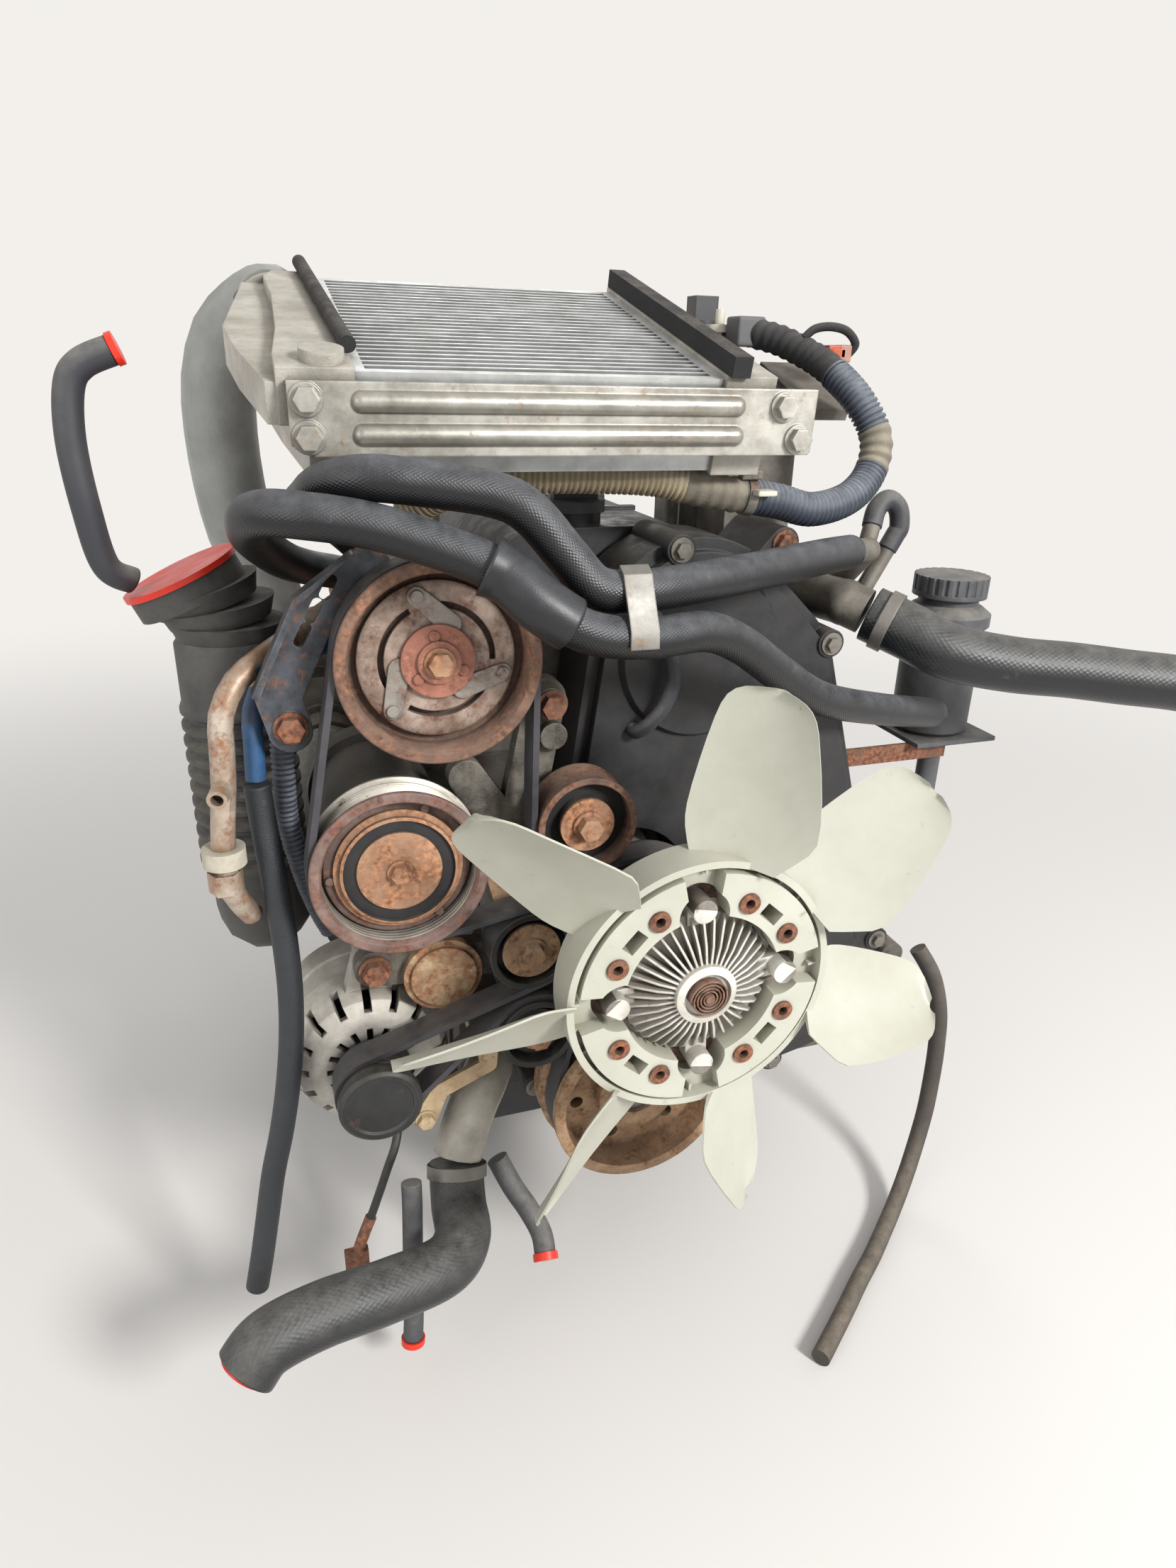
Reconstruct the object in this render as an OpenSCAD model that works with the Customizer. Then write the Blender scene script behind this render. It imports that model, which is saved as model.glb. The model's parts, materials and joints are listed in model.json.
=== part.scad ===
// Four-cylinder turbocharged diesel engine with its intercooler, drive belt and hoses.
// Millimetres. The crankshaft lies along Y at x = 0 and the fan faces -Y.
// z = 0 is the flat floor of the oil sump, on which the engine stands.

/* [Engine] */
// Height of the crankshaft's axis above the sump's floor
crank_z = 215; // [210:1:218]
// Height of the cylinder block's deck above the crankshaft's axis
deck_h = 265; // [262:1:268]
// Length of the cylinder block
block_len = 480; // [478:1:484]
// Height of the cylinder head
head_h = 120; // [118:1:121]
// Radius of the main bearings' journals
journal_r = 35; // [32:1:37]

/* [Drive belt] */
// Width of the ribbed belt
belt_w = 22; // [18:1:22]
// Thickness of the belt over its ribs
belt_t = 5; // [4:0.5:5]

/* [Fan] */
// Radius over the blade tips
fan_r = 208; // [195:1:210]
// Angle of the blades to the fan's plane at their roots
root_pitch = 36; // [30:1:38]
// Angle of the blades to the fan's plane at their tips
tip_pitch = 48; // [44:1:50]
// Number of cooling fins on the viscous clutch
clutch_fins = 40; // [30:1:44]

/* [Intercooler] */
// Slope of the intercooler, falling to the front
core_tilt = 15; // [14:0.5:16]
// Width of the finned core
core_w = 236; // [230:1:238]
// Length of the finned core down its slope
core_len = 238; // [232:1:240]
// Thickness of the core
core_t = 60; // [50:1:60]
// Number of air rows between the core's tubes
core_rows = 26; // [16:1:30]

/* [Hoses] */
// Outside diameter of the radiator hoses
radiator_d = 44; // [40:1:46]
// Outside diameter of the heater hoses
heater_d = 26; // [22:1:26]
// Outside diameter of the wrapped hose that hangs at the left
wrapped_d = 18; // [14:1:18]
// Outside diameter of the hose that lies at the right
side_d = 16; // [12:1:16]
// Outside diameter of the wiring's conduit across the front
harness_d = 26; // [20:1:26]

/* [Hidden] */
$fn = 48;

// Planes across the engine, from front to back
belt_y0 = -362;
belt_y1 = belt_y0 + belt_w;
pulley_y0 = -368;
pulley_y1 = -334;
body_y = -328;
cover_y0 = -310;
front_y = -block_len / 2;
rear_y = block_len / 2;
deck_z = crank_z + deck_h;
head_top = deck_z + head_h;

// Pulley centres [x, z] and belt radii
crank_at = [0, crank_z];
crank_r = 70;
pump_at = [0, 383];
pump_r = 50;
alternator_at = [-210, 268];
alternator_r = 27;
lower_at = [-185, 450];
lower_r = 57;
upper_at = [-153, 594];
upper_r = 62;
upper_idler_at = [-52, 469];
upper_idler_r = 36;
lower_idler_at = [-88, 297];
lower_idler_r = 29;
tensioner_at = [-93, 372];
tensioner_r = 31;
tensioner_pivot = [-107, 430];
belt_gap = 0.3;

// ---------- plain shapes laid along the engine ----------

module along(x, z, y0, y1, r, top = -1) translate([x, y1, z]) rotate([90, 0, 0])
    cylinder(h = y1 - y0, r1 = r, r2 = top < 0 ? r : top);

module plate(y0, y1) translate([0, y1, 0]) rotate([90, 0, 0]) linear_extrude(y1 - y0) children();

// A turned profile [radius, distance forward of y] about an axis along Y
module turned(at, y) translate([at[0], y, at[1]]) rotate([90, 0, 0]) rotate_extrude($fn = 96) children();

module block_of(x0, x1, y0, y1, z0, z1) translate([x0, y0, z0]) cube([x1 - x0, y1 - y0, z1 - z0]);

module hex_bolt(r, h) {
    cylinder(h = h, r = r * 0.8, $fn = 6);
    cylinder(h = h * 0.25, r = r);
}

// A hexagon bolt with its washer, its seat on the plane y, facing the front
module front_bolt(x, y, z, r, h) translate([x, y, z]) rotate([90, 0, 0]) hex_bolt(r, h);

// ---------- outlines round circles: belts, covers and links ----------

// Direction of the straight run from circle a to circle b; a circle is [x, z, signed radius],
// positive where the path goes round it clockwise
function run_angle(a, b) = let (v = [b[0] - a[0], b[1] - a[1]])
    atan2(v[1], v[0]) - asin((a[2] - b[2]) / norm(v));
function turn(a, from, to) = a[2] > 0 ? -((from - to + 720) % 360) : (to - from + 720) % 360;
function arc_points(a, from, by, step) = let (n = max(2, ceil(abs(by) / step)))
    [for (i = [0:n]) let (t = from + by * i / n) [a[0] - a[2] * sin(t), a[1] + a[2] * cos(t)]];
function wrap(c, step = 9) = [for (i = [0:len(c) - 1])
    let (before = c[(i + len(c) - 1) % len(c)], after = c[(i + 1) % len(c)],
        t0 = run_angle(before, c[i]), t1 = run_angle(c[i], after))
    each arc_points(c[i], t0, turn(c[i], t0, t1), step)];

module link(a, ra, b, rb) polygon(wrap([[a[0], a[1], ra], [b[0], b[1], rb]], 15));

// ---------- swept hoses and pipes ----------

function unit(v) = v / norm(v);
function tangent(p, i) = unit(p[min(i + 1, len(p) - 1)] - p[max(i - 1, 0)]);
function across(s, t) = unit(s - (s * t) * t);
function sides(p, s, i = 0) = i == len(p) ? []
    : let (u = across(s, tangent(p, i))) concat([u], sides(p, u, i + 1));
function curve_point(p, i, t) = let (a = p[max(i - 1, 0)], b = p[i], c = p[i + 1],
    d = p[min(i + 2, len(p) - 1)])
    0.5 * (2 * b + (c - a) * t + (2 * a - 5 * b + 4 * c - d) * t * t + (3 * b - a - 3 * c + d) * t * t * t);
function curve(p, n = 2) = concat([for (i = [0:len(p) - 2], k = [0:n - 1]) curve_point(p, i, k / n)],
    [p[len(p) - 1]]);

// A round tube of n sides swept along the points p
module sweep(p, r, n = 10, start = [0.3, 0.2, 1]) {
    s = sides(p, start);
    points = [for (i = [0:len(p) - 1], k = [0:n - 1])
        p[i] + r * (cos(360 * k / n) * s[i] + sin(360 * k / n) * cross(tangent(p, i), s[i]))];
    walls = [for (i = [0:len(p) - 2], k = [0:n - 1])
        [i * n + k, (i + 1) * n + k, (i + 1) * n + (k + 1) % n, i * n + (k + 1) % n]];
    first = [for (k = [0:n - 1]) k];
    last = [for (k = [n - 1:-1:0]) (len(p) - 1) * n + k];
    polyhedron(points, concat([first], walls, [last]), convexity = 6);
}

// A cylinder from point a towards point b
module rod(a, b, r, r2 = -1) {
    v = b - a;
    translate(a) rotate([0, acos(v[2] / norm(v)), atan2(v[1], v[0])])
        cylinder(h = norm(v), r1 = r, r2 = r2 < 0 ? r : r2);
}

// ---------- routes of the hoses and pipes ----------

heater_long_route = [[-118, -165, 575], [-141, -167, 590], [-165, -173, 622], [-196, -190, 654],
    [-218, -240, 672], [-226, -300, 682], [-223, -335, 692], [-215, -364, 703], [-194, -384, 709],
    [-160, -390, 706], [-123, -395, 700],
    [-104, -400, 690], [-84, -405, 667], [-66, -410, 648], [-40, -410, 645], [-4, -400, 645],
    [59, -370, 645], [138, -325, 644], [177, -300, 642]];
heater_short_route = [[-118, -130, 575], [-144, -134, 590], [-182, -154, 610], [-220, -196, 626],
    [-240, -256, 644], [-256, -320, 668], [-259, -352, 682], [-250, -375, 690], [-228, -390, 690],
    [-200, -395, 686], [-171, -400, 678],
    [-127, -411, 661], [-104, -422, 642], [-75, -425, 625], [-36, -420, 618], [9, -406, 616],
    [45, -390, 600], [88, -370, 571], [136, -350, 543], [210, -320, 519], [292, -285, 497]];
radiator_upper_route = [[203.5, -299, 592.5], [226, -321, 582], [253, -341, 569], [300, -356, 560],
    [347, -370, 556], [390, -383, 551], [429, -395, 547], [462, -404, 541]];
radiator_lower_route = [[-150, -343, 169], [-152, -351, 156], [-154, -367, 146], [-157, -394, 141],
    [-176, -418, 143], [-221, -435, 152], [-266, -446, 159], [-302, -456, 158], [-318, -463, 146]];
inlet_route = [[-101, -242, 232], [-102, -272, 231], [-112, -300, 223], [-130, -321, 207],
    [-142, -333, 188], [-148.6, -340.9, 172.6]];
inlet_duct_route = [[-279, -225, 420], [-280, -222, 388], [-279, -204, 352], [-272, -172, 334],
    [-256, -140, 340], [-236, -114, 368], [-218, -94, 398], [-207, -78, 416], [-205, -56, 420]];
charge_route = [[-222, -83, 802], [-223, -66, 806], [-236, -38, 802], [-256, -20, 782], [-268, -12, 748],
    [-271, -8, 708], [-269, -2, 664], [-263, 5, 622], [-250, 9, 580], [-243, 10, 556], [-243, 10, 534]];
boost_route = [[83.2, -118, 786], [91, -118, 786], [99, -118, 786], [122, -112, 774], [139, -108, 750],
    [146, -104, 716], [147, -101, 670], [147, -98, 570]];
slim_route = [[-336, -232, 628], [-350, -240, 640], [-355, -248, 678], [-357, -250, 719],
    [-353, -250, 750], [-344, -250, 763], [-326, -250, 771]];
bare_route = [[-203, -256, 612], [-235, -290, 600], [-260, -313, 590], [-276, -327, 581],
    [-287, -334, 562], [-289, -335, 540], [-291, -335, 512], [-296, -335, 470], [-294, -332, 436],
    [-284, -316, 408]];
blue_route = [[-203, -236, 580], [-232, -264, 580], [-256, -296, 574], [-268, -310, 556],
    [-270, -314, 532], [-271, -315, 509]];
wrapped_route = [[-271, -315, 505], [-269, -318, 470], [-266, -324, 430], [-264, -328, 390],
    [-264, -331, 350], [-267, -333, 310], [-273, -335, 270], [-281, -335, 230], [-291, -335, 190],
    [-299, -335, 150], [-307, -335, 110], [-314, -335, 78]];
conduit_route = [[-252, -296, 530], [-253, -300, 500], [-253, -300, 469], [-246, -300, 427],
    [-238, -298, 396], [-230, -292, 372]];
side_route = [[309, -298, 262], [322, -310, 236], [330, -318, 200], [332, -322, 160],
    [331, -325, 122], [327, -329, 86], [317, -336, 53], [300, -349, 28], [277, -367, 13],
    [251, -388, 9], [224, -410, 9], [197, -430, 9], [169, -452, 9], [140, -474, 9], [124, -486, 9]];
drain_route = [[-190, -362, 176], [-191, -368, 158], [-193, -374, 126], [-195, -380, 95],
    [-197, -386, 64], [-199, -390, 42]];
vent_route = [[10, -316, 604], [10, -323, 604], [15, -327, 592], [22, -327, 574], [24, -327, 556],
    [18, -327, 540], [8, -324, 526], [1, -317, 518], [1, -310, 518]];
bypass_route = [[217, -266, 655], [223, -261, 668], [233, -260, 675], [243, -261, 668],
    [246, -262, 654], [243, -262, 647], [237, -262, 636]];
short_route = [[-114, -332, 152], [-104, -344, 130], [-93, -356, 112], [-86, -370, 98],
    [-86, -382, 88]];
harness_route = [[-150, -232, 670], [-126, -256, 686], [-96, -278, 698], [-64, -284, 699],
    [-32, -286, 699], [15, -290, 697], [50, -296, 690], [83, -300, 685], [110, -300, 681],
    [142, -296, 674], [180, -284, 680], [206, -270, 697], [214, -260, 722], [204, -246, 748],
    [193, -222, 768], [187, -198, 779], [172, -170, 791], [155, -150, 797]];
sensor_wire = [[182, -190, 793], [190, -192, 800], [203, -195, 802], [216, -198, 799], [225, -198, 790],
    [222, -194, 782]];

// ---------- castings ----------

module block_section() polygon([[-125, crank_z - 65], [-125, crank_z + 75], [-105, crank_z + 115],
    [-105, deck_z], [105, deck_z], [105, crank_z + 115], [125, crank_z + 75], [125, crank_z - 65]]);

bell_bolt_r = 160;
bell_bolts = 8;
mount_x = 205;
mount_pitch = 50;

module engine_block() color([0.24, 0.25, 0.25]) difference() {
    union() {
        plate(front_y, rear_y) block_section();
        plate(rear_y - 20, rear_y) translate(crank_at) circle(r = 172);
        block_of(-135, 135, front_y, rear_y, crank_z - 65, crank_z - 53);
        // cylinder barrels standing proud of the water jacket, and freeze plugs between them
        for (i = [0:3], s = [-1, 1]) translate([s * 70, -162 + 108 * i, crank_z + 120])
            cylinder(h = deck_h - 132, r = 44);
        for (i = [0:4], s = [-1, 1]) block_of(s * 124 - 4, s * 124 + 4, -205 + 100 * i, -195 + 100 * i,
            crank_z - 54, crank_z + 70);
        for (i = [0:2]) rod([0, -108 + 108 * i, deck_z - 70], [117, -108 + 108 * i, deck_z - 70], 19);
    }
    // crankcase, open to the sump
    along(0, crank_z, front_y + 25, rear_y - 25, 92);
    block_of(-92, 92, front_y + 25, rear_y - 25, crank_z - 66, crank_z);
    along(0, crank_z, front_y - 1, front_y + 26, journal_r + 0.05);
    along(0, crank_z, rear_y - 26, rear_y + 1, 46);
    // tapped holes for the bell housing
    for (i = [0:bell_bolts - 1]) let (t = 22.5 + 360 * i / bell_bolts)
        along(bell_bolt_r * cos(t), crank_z + bell_bolt_r * sin(t), rear_y - 21, rear_y + 1, 5.5);
}

module sump_side() polygon([[front_y + 4, crank_z - 65], [front_y + 4, 108], [-150, 96], [-122, 14],
    [-108, 0], [190, 0], [204, 14], [218, 80], [218, crank_z - 65]]);
module sump_front(r = 24) polygon([[-108, crank_z - 65], each [for (t = [180:15:270])
    [-108 + r + r * cos(t), r + r * sin(t)]], each [for (t = [270:15:360])
    [108 - r + r * cos(t), r + r * sin(t)]], [108, crank_z - 65]]);

module sump_form() intersection() {
    translate([-150, 0, 0]) rotate([90, 0, 90]) linear_extrude(300) sump_side();
    plate(-260, 260) sump_front();
}

module oil_sump() color([0.13, 0.13, 0.14]) {
    difference() {
        union() {
            sump_form();
            block_of(-135, 135, front_y + 2, rear_y - 22, crank_z - 69, crank_z - 65);
        }
        translate([0, 0, 3]) scale(0.965) sump_form();
        block_of(-88, 88, front_y + 27, rear_y - 40, crank_z - 75, crank_z - 60);
    }
    // drain plug, and the bolts of the sump's rail
    translate([108, 60, 40]) rotate([0, 90, 0]) hex_bolt(15, 12);
    for (i = [0:5], s = [-1, 1]) translate([s * 124, -205 + 76 * i, crank_z - 69])
        rotate([180, 0, 0]) hex_bolt(8, 7);
}

cam_x = 40;
cam_z = head_top - 16;

module cylinder_head() color([0.45, 0.44, 0.42]) difference() {
    union() {
        block_of(-98, 98, front_y + 5, rear_y - 5, deck_z, head_top);
        block_of(-104, 104, front_y + 8, rear_y - 8, head_top - 16, head_top);
        for (i = [0:3]) {
            block_of(-100, -90, -190 + 108 * i, -134 + 108 * i, deck_z + 25, deck_z + 85);
            block_of(90, 100, -190 + 108 * i, -134 + 108 * i, deck_z + 25, deck_z + 85);
            rod([60, -108 + 92 * i, head_top - 38], [105, -108 + 92 * i, head_top - 20], 11);
        }
    }
    // camshaft's channel, with a bearing at each end
    block_of(cam_x - 30, cam_x + 30, front_y + 28, rear_y - 28, head_top - 52, head_top + 1);
    along(cam_x, cam_z, front_y, rear_y - 12, 15.05);
    block_of(cam_x - 15, cam_x + 15, front_y, rear_y - 12, cam_z, head_top + 1);
}

module cover_section(d = 0) translate([0, head_top]) polygon([[-88 + d, 0], [-88 + d, 28 - d],
    [-76 + d, 45 - d], [-58, 55 - d], [58, 55 - d], [76 - d, 45 - d], [88 - d, 28 - d], [88 - d, 0]]);

filler_at = [-15, -205];
filler_z = head_top + 64;

module head_cover() color([0.07, 0.07, 0.075]) difference() {
    union() {
        plate(front_y + 8, rear_y - 8) cover_section();
        block_of(-96, 96, front_y + 8, rear_y - 8, head_top, head_top + 8);
        for (i = [0:4]) block_of(-62, 62, -140 + 80 * i, -132 + 80 * i, head_top + 54, head_top + 58);
        translate([filler_at[0], filler_at[1], head_top + 50]) cylinder(h = 14, r = 21);
        block_of(-50, 50, 60, 150, head_top + 54, head_top + 66);
    }
    translate([0, 0, -0.01]) plate(front_y + 12, rear_y - 12) cover_section(4);
    translate([filler_at[0], filler_at[1], head_top]) cylinder(h = 80, r = 17);
}

// Outline of the timing cover: cam wheel, injection pump wheel and crank nose
cover_circles = [[0, crank_z, 80], [52, 573, 84], [104, 540, 72], [168, 262, 90]];
function smaller(c, d) = [for (a = c) [a[0], a[1], a[2] - d]];

module timing_cover() color([0.12, 0.12, 0.125]) difference() {
    union() {
        plate(cover_y0 + 10, front_y) polygon(wrap(cover_circles));
        plate(cover_y0, cover_y0 + 11) polygon(wrap(smaller(cover_circles, 9)));
        turned([52, 573], cover_y0 + 1) polygon([[0, 0], [66, 0], [62, 7], [0, 7]]);
        turned([168, 262], cover_y0 + 1) polygon([[0, 0], [70, 0], [66, 6], [0, 6]]);
        // screw bosses round the edge
        for (p = [[0, 190], [0, 250], [1, 165], [1, 105], [2, 30], [3, 20], [3, -40], [3, -100]])
            let (c = cover_circles[p[0]], r = c[2] - 4)
                along(c[0] + r * cos(p[1]), c[1] + r * sin(p[1]), cover_y0 - 2, front_y, 11);
        plate(cover_y0, front_y) link([88, 610], 20, [114, 652], 12);
        front_bolt(114, cover_y0, 652, 10, 7);
        // bracket for the reservoir
        block_of(190, 330, -262, -258, 444, 460);
    }
    plate(cover_y0 + 5, front_y + 1) polygon(wrap(smaller(cover_circles, 12)));
    along(0, crank_z, cover_y0 - 10, front_y + 1, 42);
    along(pump_at[0], pump_at[1], cover_y0 - 10, front_y + 1, 52);
}

// ---------- crankshaft and what turns with it ----------

module crank_throw(y, t) translate([0, y, crank_z]) rotate([0, t, 0]) {
    translate([0, 14, 0]) rotate([90, 0, 0]) linear_extrude(10) crank_web();
    translate([0, -24, 0]) rotate([90, 0, 0]) linear_extrude(10) crank_web();
    along(0, 51, -25, 5, 27);
}
module crank_web() {
    link([0, 0], 44, [0, 51], 30);
    intersection() {
        circle(r = 88);
        polygon([[0, 0], [-90, -30], [-90, -90], [90, -90], [90, -30]]);
    }
}

module crankshaft() color([0.5, 0.48, 0.45]) {
    along(0, crank_z, pulley_y0 + 12, front_y - 28, 19);
    along(0, crank_z, front_y - 30, rear_y - 20, journal_r);
    along(0, crank_z, rear_y - 28, rear_y + 10, 45);
    for (i = [0:3]) crank_throw(-157 + 108 * i, i == 0 || i == 3 ? 0 : 180);
}

camshaft_lobe_h = 9;
module camshaft() color([0.5, 0.48, 0.45]) {
    along(cam_x, cam_z, front_y - 12, rear_y - 13, 15);
    for (i = [0:7]) plate(-190 + 50 * i, -172 + 50 * i) translate([cam_x, cam_z])
        rotate(90 * ((i + floor(i / 2)) % 4) + 45) link([0, 0], 18, [0, camshaft_lobe_h], 11);
    // toothed wheel inside the timing cover
    plate(front_y - 34, front_y - 12) translate([cam_x, cam_z]) difference() {
        circle(r = 38);
        for (i = [0:23]) rotate(15 * i) translate([38, 0]) circle(r = 2.2, $fn = 16);
    }
}

// Ribbed rim profile: n ribs of depth d on radius r between heights h0 and h1, going forward
function ribs(r, h0, h1, n, d = 2) = [for (i = [0:n - 1], k = [0, 1])
    k == 0 ? [r, h0 + (h1 - h0) * i / n] : [r - d, h0 + (h1 - h0) * (i + 0.5) / n]];

module crank_pulley() color([0.35, 0.22, 0.16]) difference() {
    turned(crank_at, -316) polygon([[19.05, 0], [76, 0], [78, 2], [78, 7], [71, 10], [78, 13], [78, 17],
        [74, 20], [crank_r, 22], each ribs(crank_r, 23, 46, 6), [crank_r, 46], [75, 47], [75, 54],
        [66, 54], [64, 30], [34, 30], [34, 44], [19.05, 44]]);
    for (i = [0:5]) let (t = 10 + 60 * i)
        along(50 * cos(t), crank_z + 50 * sin(t), -350, -315, 5.5);
}

// Seat of the pilot bearing
pilot_r = 20;

module flywheel() color([0.42, 0.4, 0.38]) difference() {
    union() {
        turned(crank_at, rear_y + 46) polygon([[pilot_r, 12], [29, 12], [29, 0], [60, 0], [62, 10], [90, 10],
            [92, 0], [142, 0], [142, 12], [146, 12], [146, 26], [132, 26], [128, 36], [pilot_r, 36]]);
        // starter ring: teeth cut round its rim
        plate(rear_y + 21, rear_y + 33) translate(crank_at) for (i = [0:59]) rotate(6 * i)
            translate([145, -2.4]) square([6, 4.8]);
    }
    for (i = [0:5]) rotate_about_crank(60 * i) along(116, crank_z, rear_y + 20, rear_y + 47, 4.25);
    for (i = [0:7]) rotate_about_crank(45 * i) along(37.5, crank_z, rear_y + 9, rear_y + 47, 5.5);
}

module rotate_about_crank(t) translate([0, 0, crank_z]) rotate([0, t, 0]) translate([0, 0, -crank_z])
    children();

starter_at = [-182, 165];

module rear_plate() color([0.3, 0.29, 0.28]) difference() {
    plate(rear_y, rear_y + 4) difference() {
        union() {
            translate(crank_at) circle(r = 176, $fn = 96);
            translate(starter_at) circle(r = 48);
        }
        translate(crank_at) circle(r = 50);
        translate(starter_at) circle(r = 22);
    }
    for (i = [0:bell_bolts - 1]) let (t = 22.5 + 360 * i / bell_bolts)
        along(bell_bolt_r * cos(t), crank_z + bell_bolt_r * sin(t), rear_y - 1, rear_y + 5, 5.5);
}

// ---------- water pump, viscous clutch and fan ----------

ring_y0 = -458;
ring_y1 = -440;
ring_r = 96;
drum_y1 = -428;
pad_y0 = -460;
opening_r = 57;
bush_r = 69;
// The fan, its bushes and the clutch's lugs are drawn at this angle of their turn
fan_turn = 3;
lug_angles = [0:90:270];
pad_angles = [45:90:315];

module water_pump() color([0.5, 0.49, 0.46]) difference() {
    union() {
        along(pump_at[0], pump_at[1], front_y - 20, front_y, 50);
        along(pump_at[0], pump_at[1], cover_y0 - 6, front_y - 19, 40, 30);
        along(pump_at[0], pump_at[1], body_y, cover_y0 - 5, 22);
    }
    along(pump_at[0], pump_at[1], body_y - 1, front_y - 30, 12.05);
}

module pump_pulley() color([0.14, 0.13, 0.13]) {
    turned(pump_at, pulley_y1) polygon([[12, 0], [pump_r + 3, 0], [pump_r + 3, 3], [pump_r, 5],
        each ribs(pump_r, 6, 28, 6), [pump_r, 28], [pump_r + 3, 30], [pump_r + 3, 34], [44, 34],
        [42, 12], [12, 12]]);
    along(pump_at[0], pump_at[1], -424, front_y - 34, 12);
    along(pump_at[0], pump_at[1], -392, -346, 24);
    for (i = [0:3]) front_bolt(pump_at[0] + 32 * cos(45 + 90 * i), pulley_y1 - 12,
        pump_at[1] + 32 * sin(45 + 90 * i), 8, 8);
}

// Four lugs carry the clutch on the fan's ring
module at_lugs(r) for (t = lug_angles) let (a = t + fan_turn)
    translate([pump_at[0] + r * cos(a), 0, pump_at[1] + r * sin(a)]) rotate([0, -a, 0]) children();

module fan_clutch() color([0.55, 0.54, 0.5]) difference() {
    union() {
        turned(pump_at, -412) polygon([[12.1, 0], [54, 0], [60, 6], [60, 28], [12.1, 28]]);
        turned(pump_at, -440) polygon([[0, 0], [53, 0], [53, 6], [22, 10], [22, 26], [17, 28],
            [16, 25], [0, 25]]);
        // radial cooling fins, deepest half way out
        translate([pump_at[0], -440, pump_at[1]]) rotate([90, 0, 0]) for (i = [0:clutch_fins - 1])
            rotate(360 * i / clutch_fins) rotate([90, 0, 0]) translate([0, 0, -0.8]) linear_extrude(1.6)
                polygon([[20, 0], [20, 23], [34, 20], [50, 13], [54, 9], [54, 0]]);
        // rear fins, seen through the gap round the housing
        translate([pump_at[0], -418, pump_at[1]]) rotate([90, 0, 0]) for (i = [0:clutch_fins / 2 - 1])
            rotate(720 * i / clutch_fins) translate([58, -1, 0]) cube([12, 2, 14]);
        at_lugs(61.5) translate([0, -440, 0]) rotate([90, 0, 0]) cylinder(h = 21, r = 8.5);
        at_lugs(54) translate([-8, -450, -8]) cube([16, 10, 16]);
    }
    along(pump_at[0], pump_at[1], -426, -411, 12.1);
}

module clutch_flange() color([0.5, 0.25, 0.14]) difference() {
    plate(-440, -434) difference() {
        translate(pump_at) circle(r = 84, $fn = 96);
        translate(pump_at) circle(r = 60.2, $fn = 96);
    }
    at_bushes() along(0, 0, -441, -433, 3.5);
}

// Bimetal strip wound as a spiral that opens the clutch when it is hot
spiral_turns = 4.5;
spiral_steps = 72;
function spiral(i, w) = let (t = 360 * spiral_turns * i / spiral_steps,
    r = 3 + 11 * i / spiral_steps + w) [r * cos(t), r * sin(t)];

module thermal_coil() color([0.42, 0.24, 0.17]) {
    plate(-471, -465) translate(pump_at) polygon(concat([for (i = [0:spiral_steps]) spiral(i, 0.6)],
        [for (i = [spiral_steps:-1:0]) spiral(i, -0.6)]));
    along(pump_at[0], pump_at[1], -472, -465, 3.2);
}

// The blades stand at uneven angles, which quietens the fan. Each row of the outline is the share
// of the blade's span, then its widths ahead of and behind the radial line.
blade_angles = [36, 78.5, 137, 186, 238, 285.5, 343];
blade_outline = [[0, 26, 31], [0.13, 38, 38], [0.26, 46, 41], [0.5, 41, 41], [0.76, 31, 39],
    [0.9, 24, 35], [0.97, 15, 25], [1, 3, 9]];
blade_root_r = 90;
blade_t = 3.2;
blade_y = -454.5;
blade_camber = 5;
stations = 6;

// A point of the blade at row [share, ahead, behind], v from -1 behind to 1 ahead, w through its
// thickness; the pitch rises fast near the root and levels off towards the tip
function blade_point(row, v, w) = let (r = blade_root_r + (fan_r - blade_root_r) * row[0],
        pitch = tip_pitch - (tip_pitch - root_pitch) * pow(1 - min(1, row[0]), 1.7),
        c = (row[1] - row[2]) / 2 + v * (row[1] + row[2]) / 2,
        h = blade_camber * (1 - v * v) + w * (1 - 0.55 * pow(v, 4)))
    [c * cos(pitch) + h * sin(pitch), -c * sin(pitch) + h * cos(pitch), r];

module blade() {
    rows = curve(blade_outline);
    last = len(rows) - 1;
    n = 2 * (stations + 1);
    points = [for (row = rows) each concat(
        [for (k = [0:stations]) blade_point(row, 2 * k / stations - 1, blade_t / 2)],
        [for (k = [stations:-1:0]) blade_point(row, 2 * k / stations - 1, -blade_t / 2)])];
    walls = [for (i = [0:last - 1], k = [0:n - 1]) let (a = i * n, b = (k + 1) % n)
        each [[a + k, a + n + b, a + n + k], [a + k, a + b, a + n + b]]];
    tip = [for (k = [0:stations - 1]) each [[k, k + 1, n - 2 - k], [k, n - 2 - k, n - 1 - k]]];
    root = [for (t = tip) [t[2], t[1], t[0]]];
    ends = concat(root, [for (t = tip) [for (k = t) k + last * n]]);
    polyhedron(points, concat(walls, ends), convexity = 4);
}

// The opening has a bay for each lug of the clutch
module fan_opening() {
    circle(r = opening_r, $fn = 96);
    for (t = lug_angles) rotate(t + fan_turn) translate([58, 0]) circle(r = 18);
}

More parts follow.
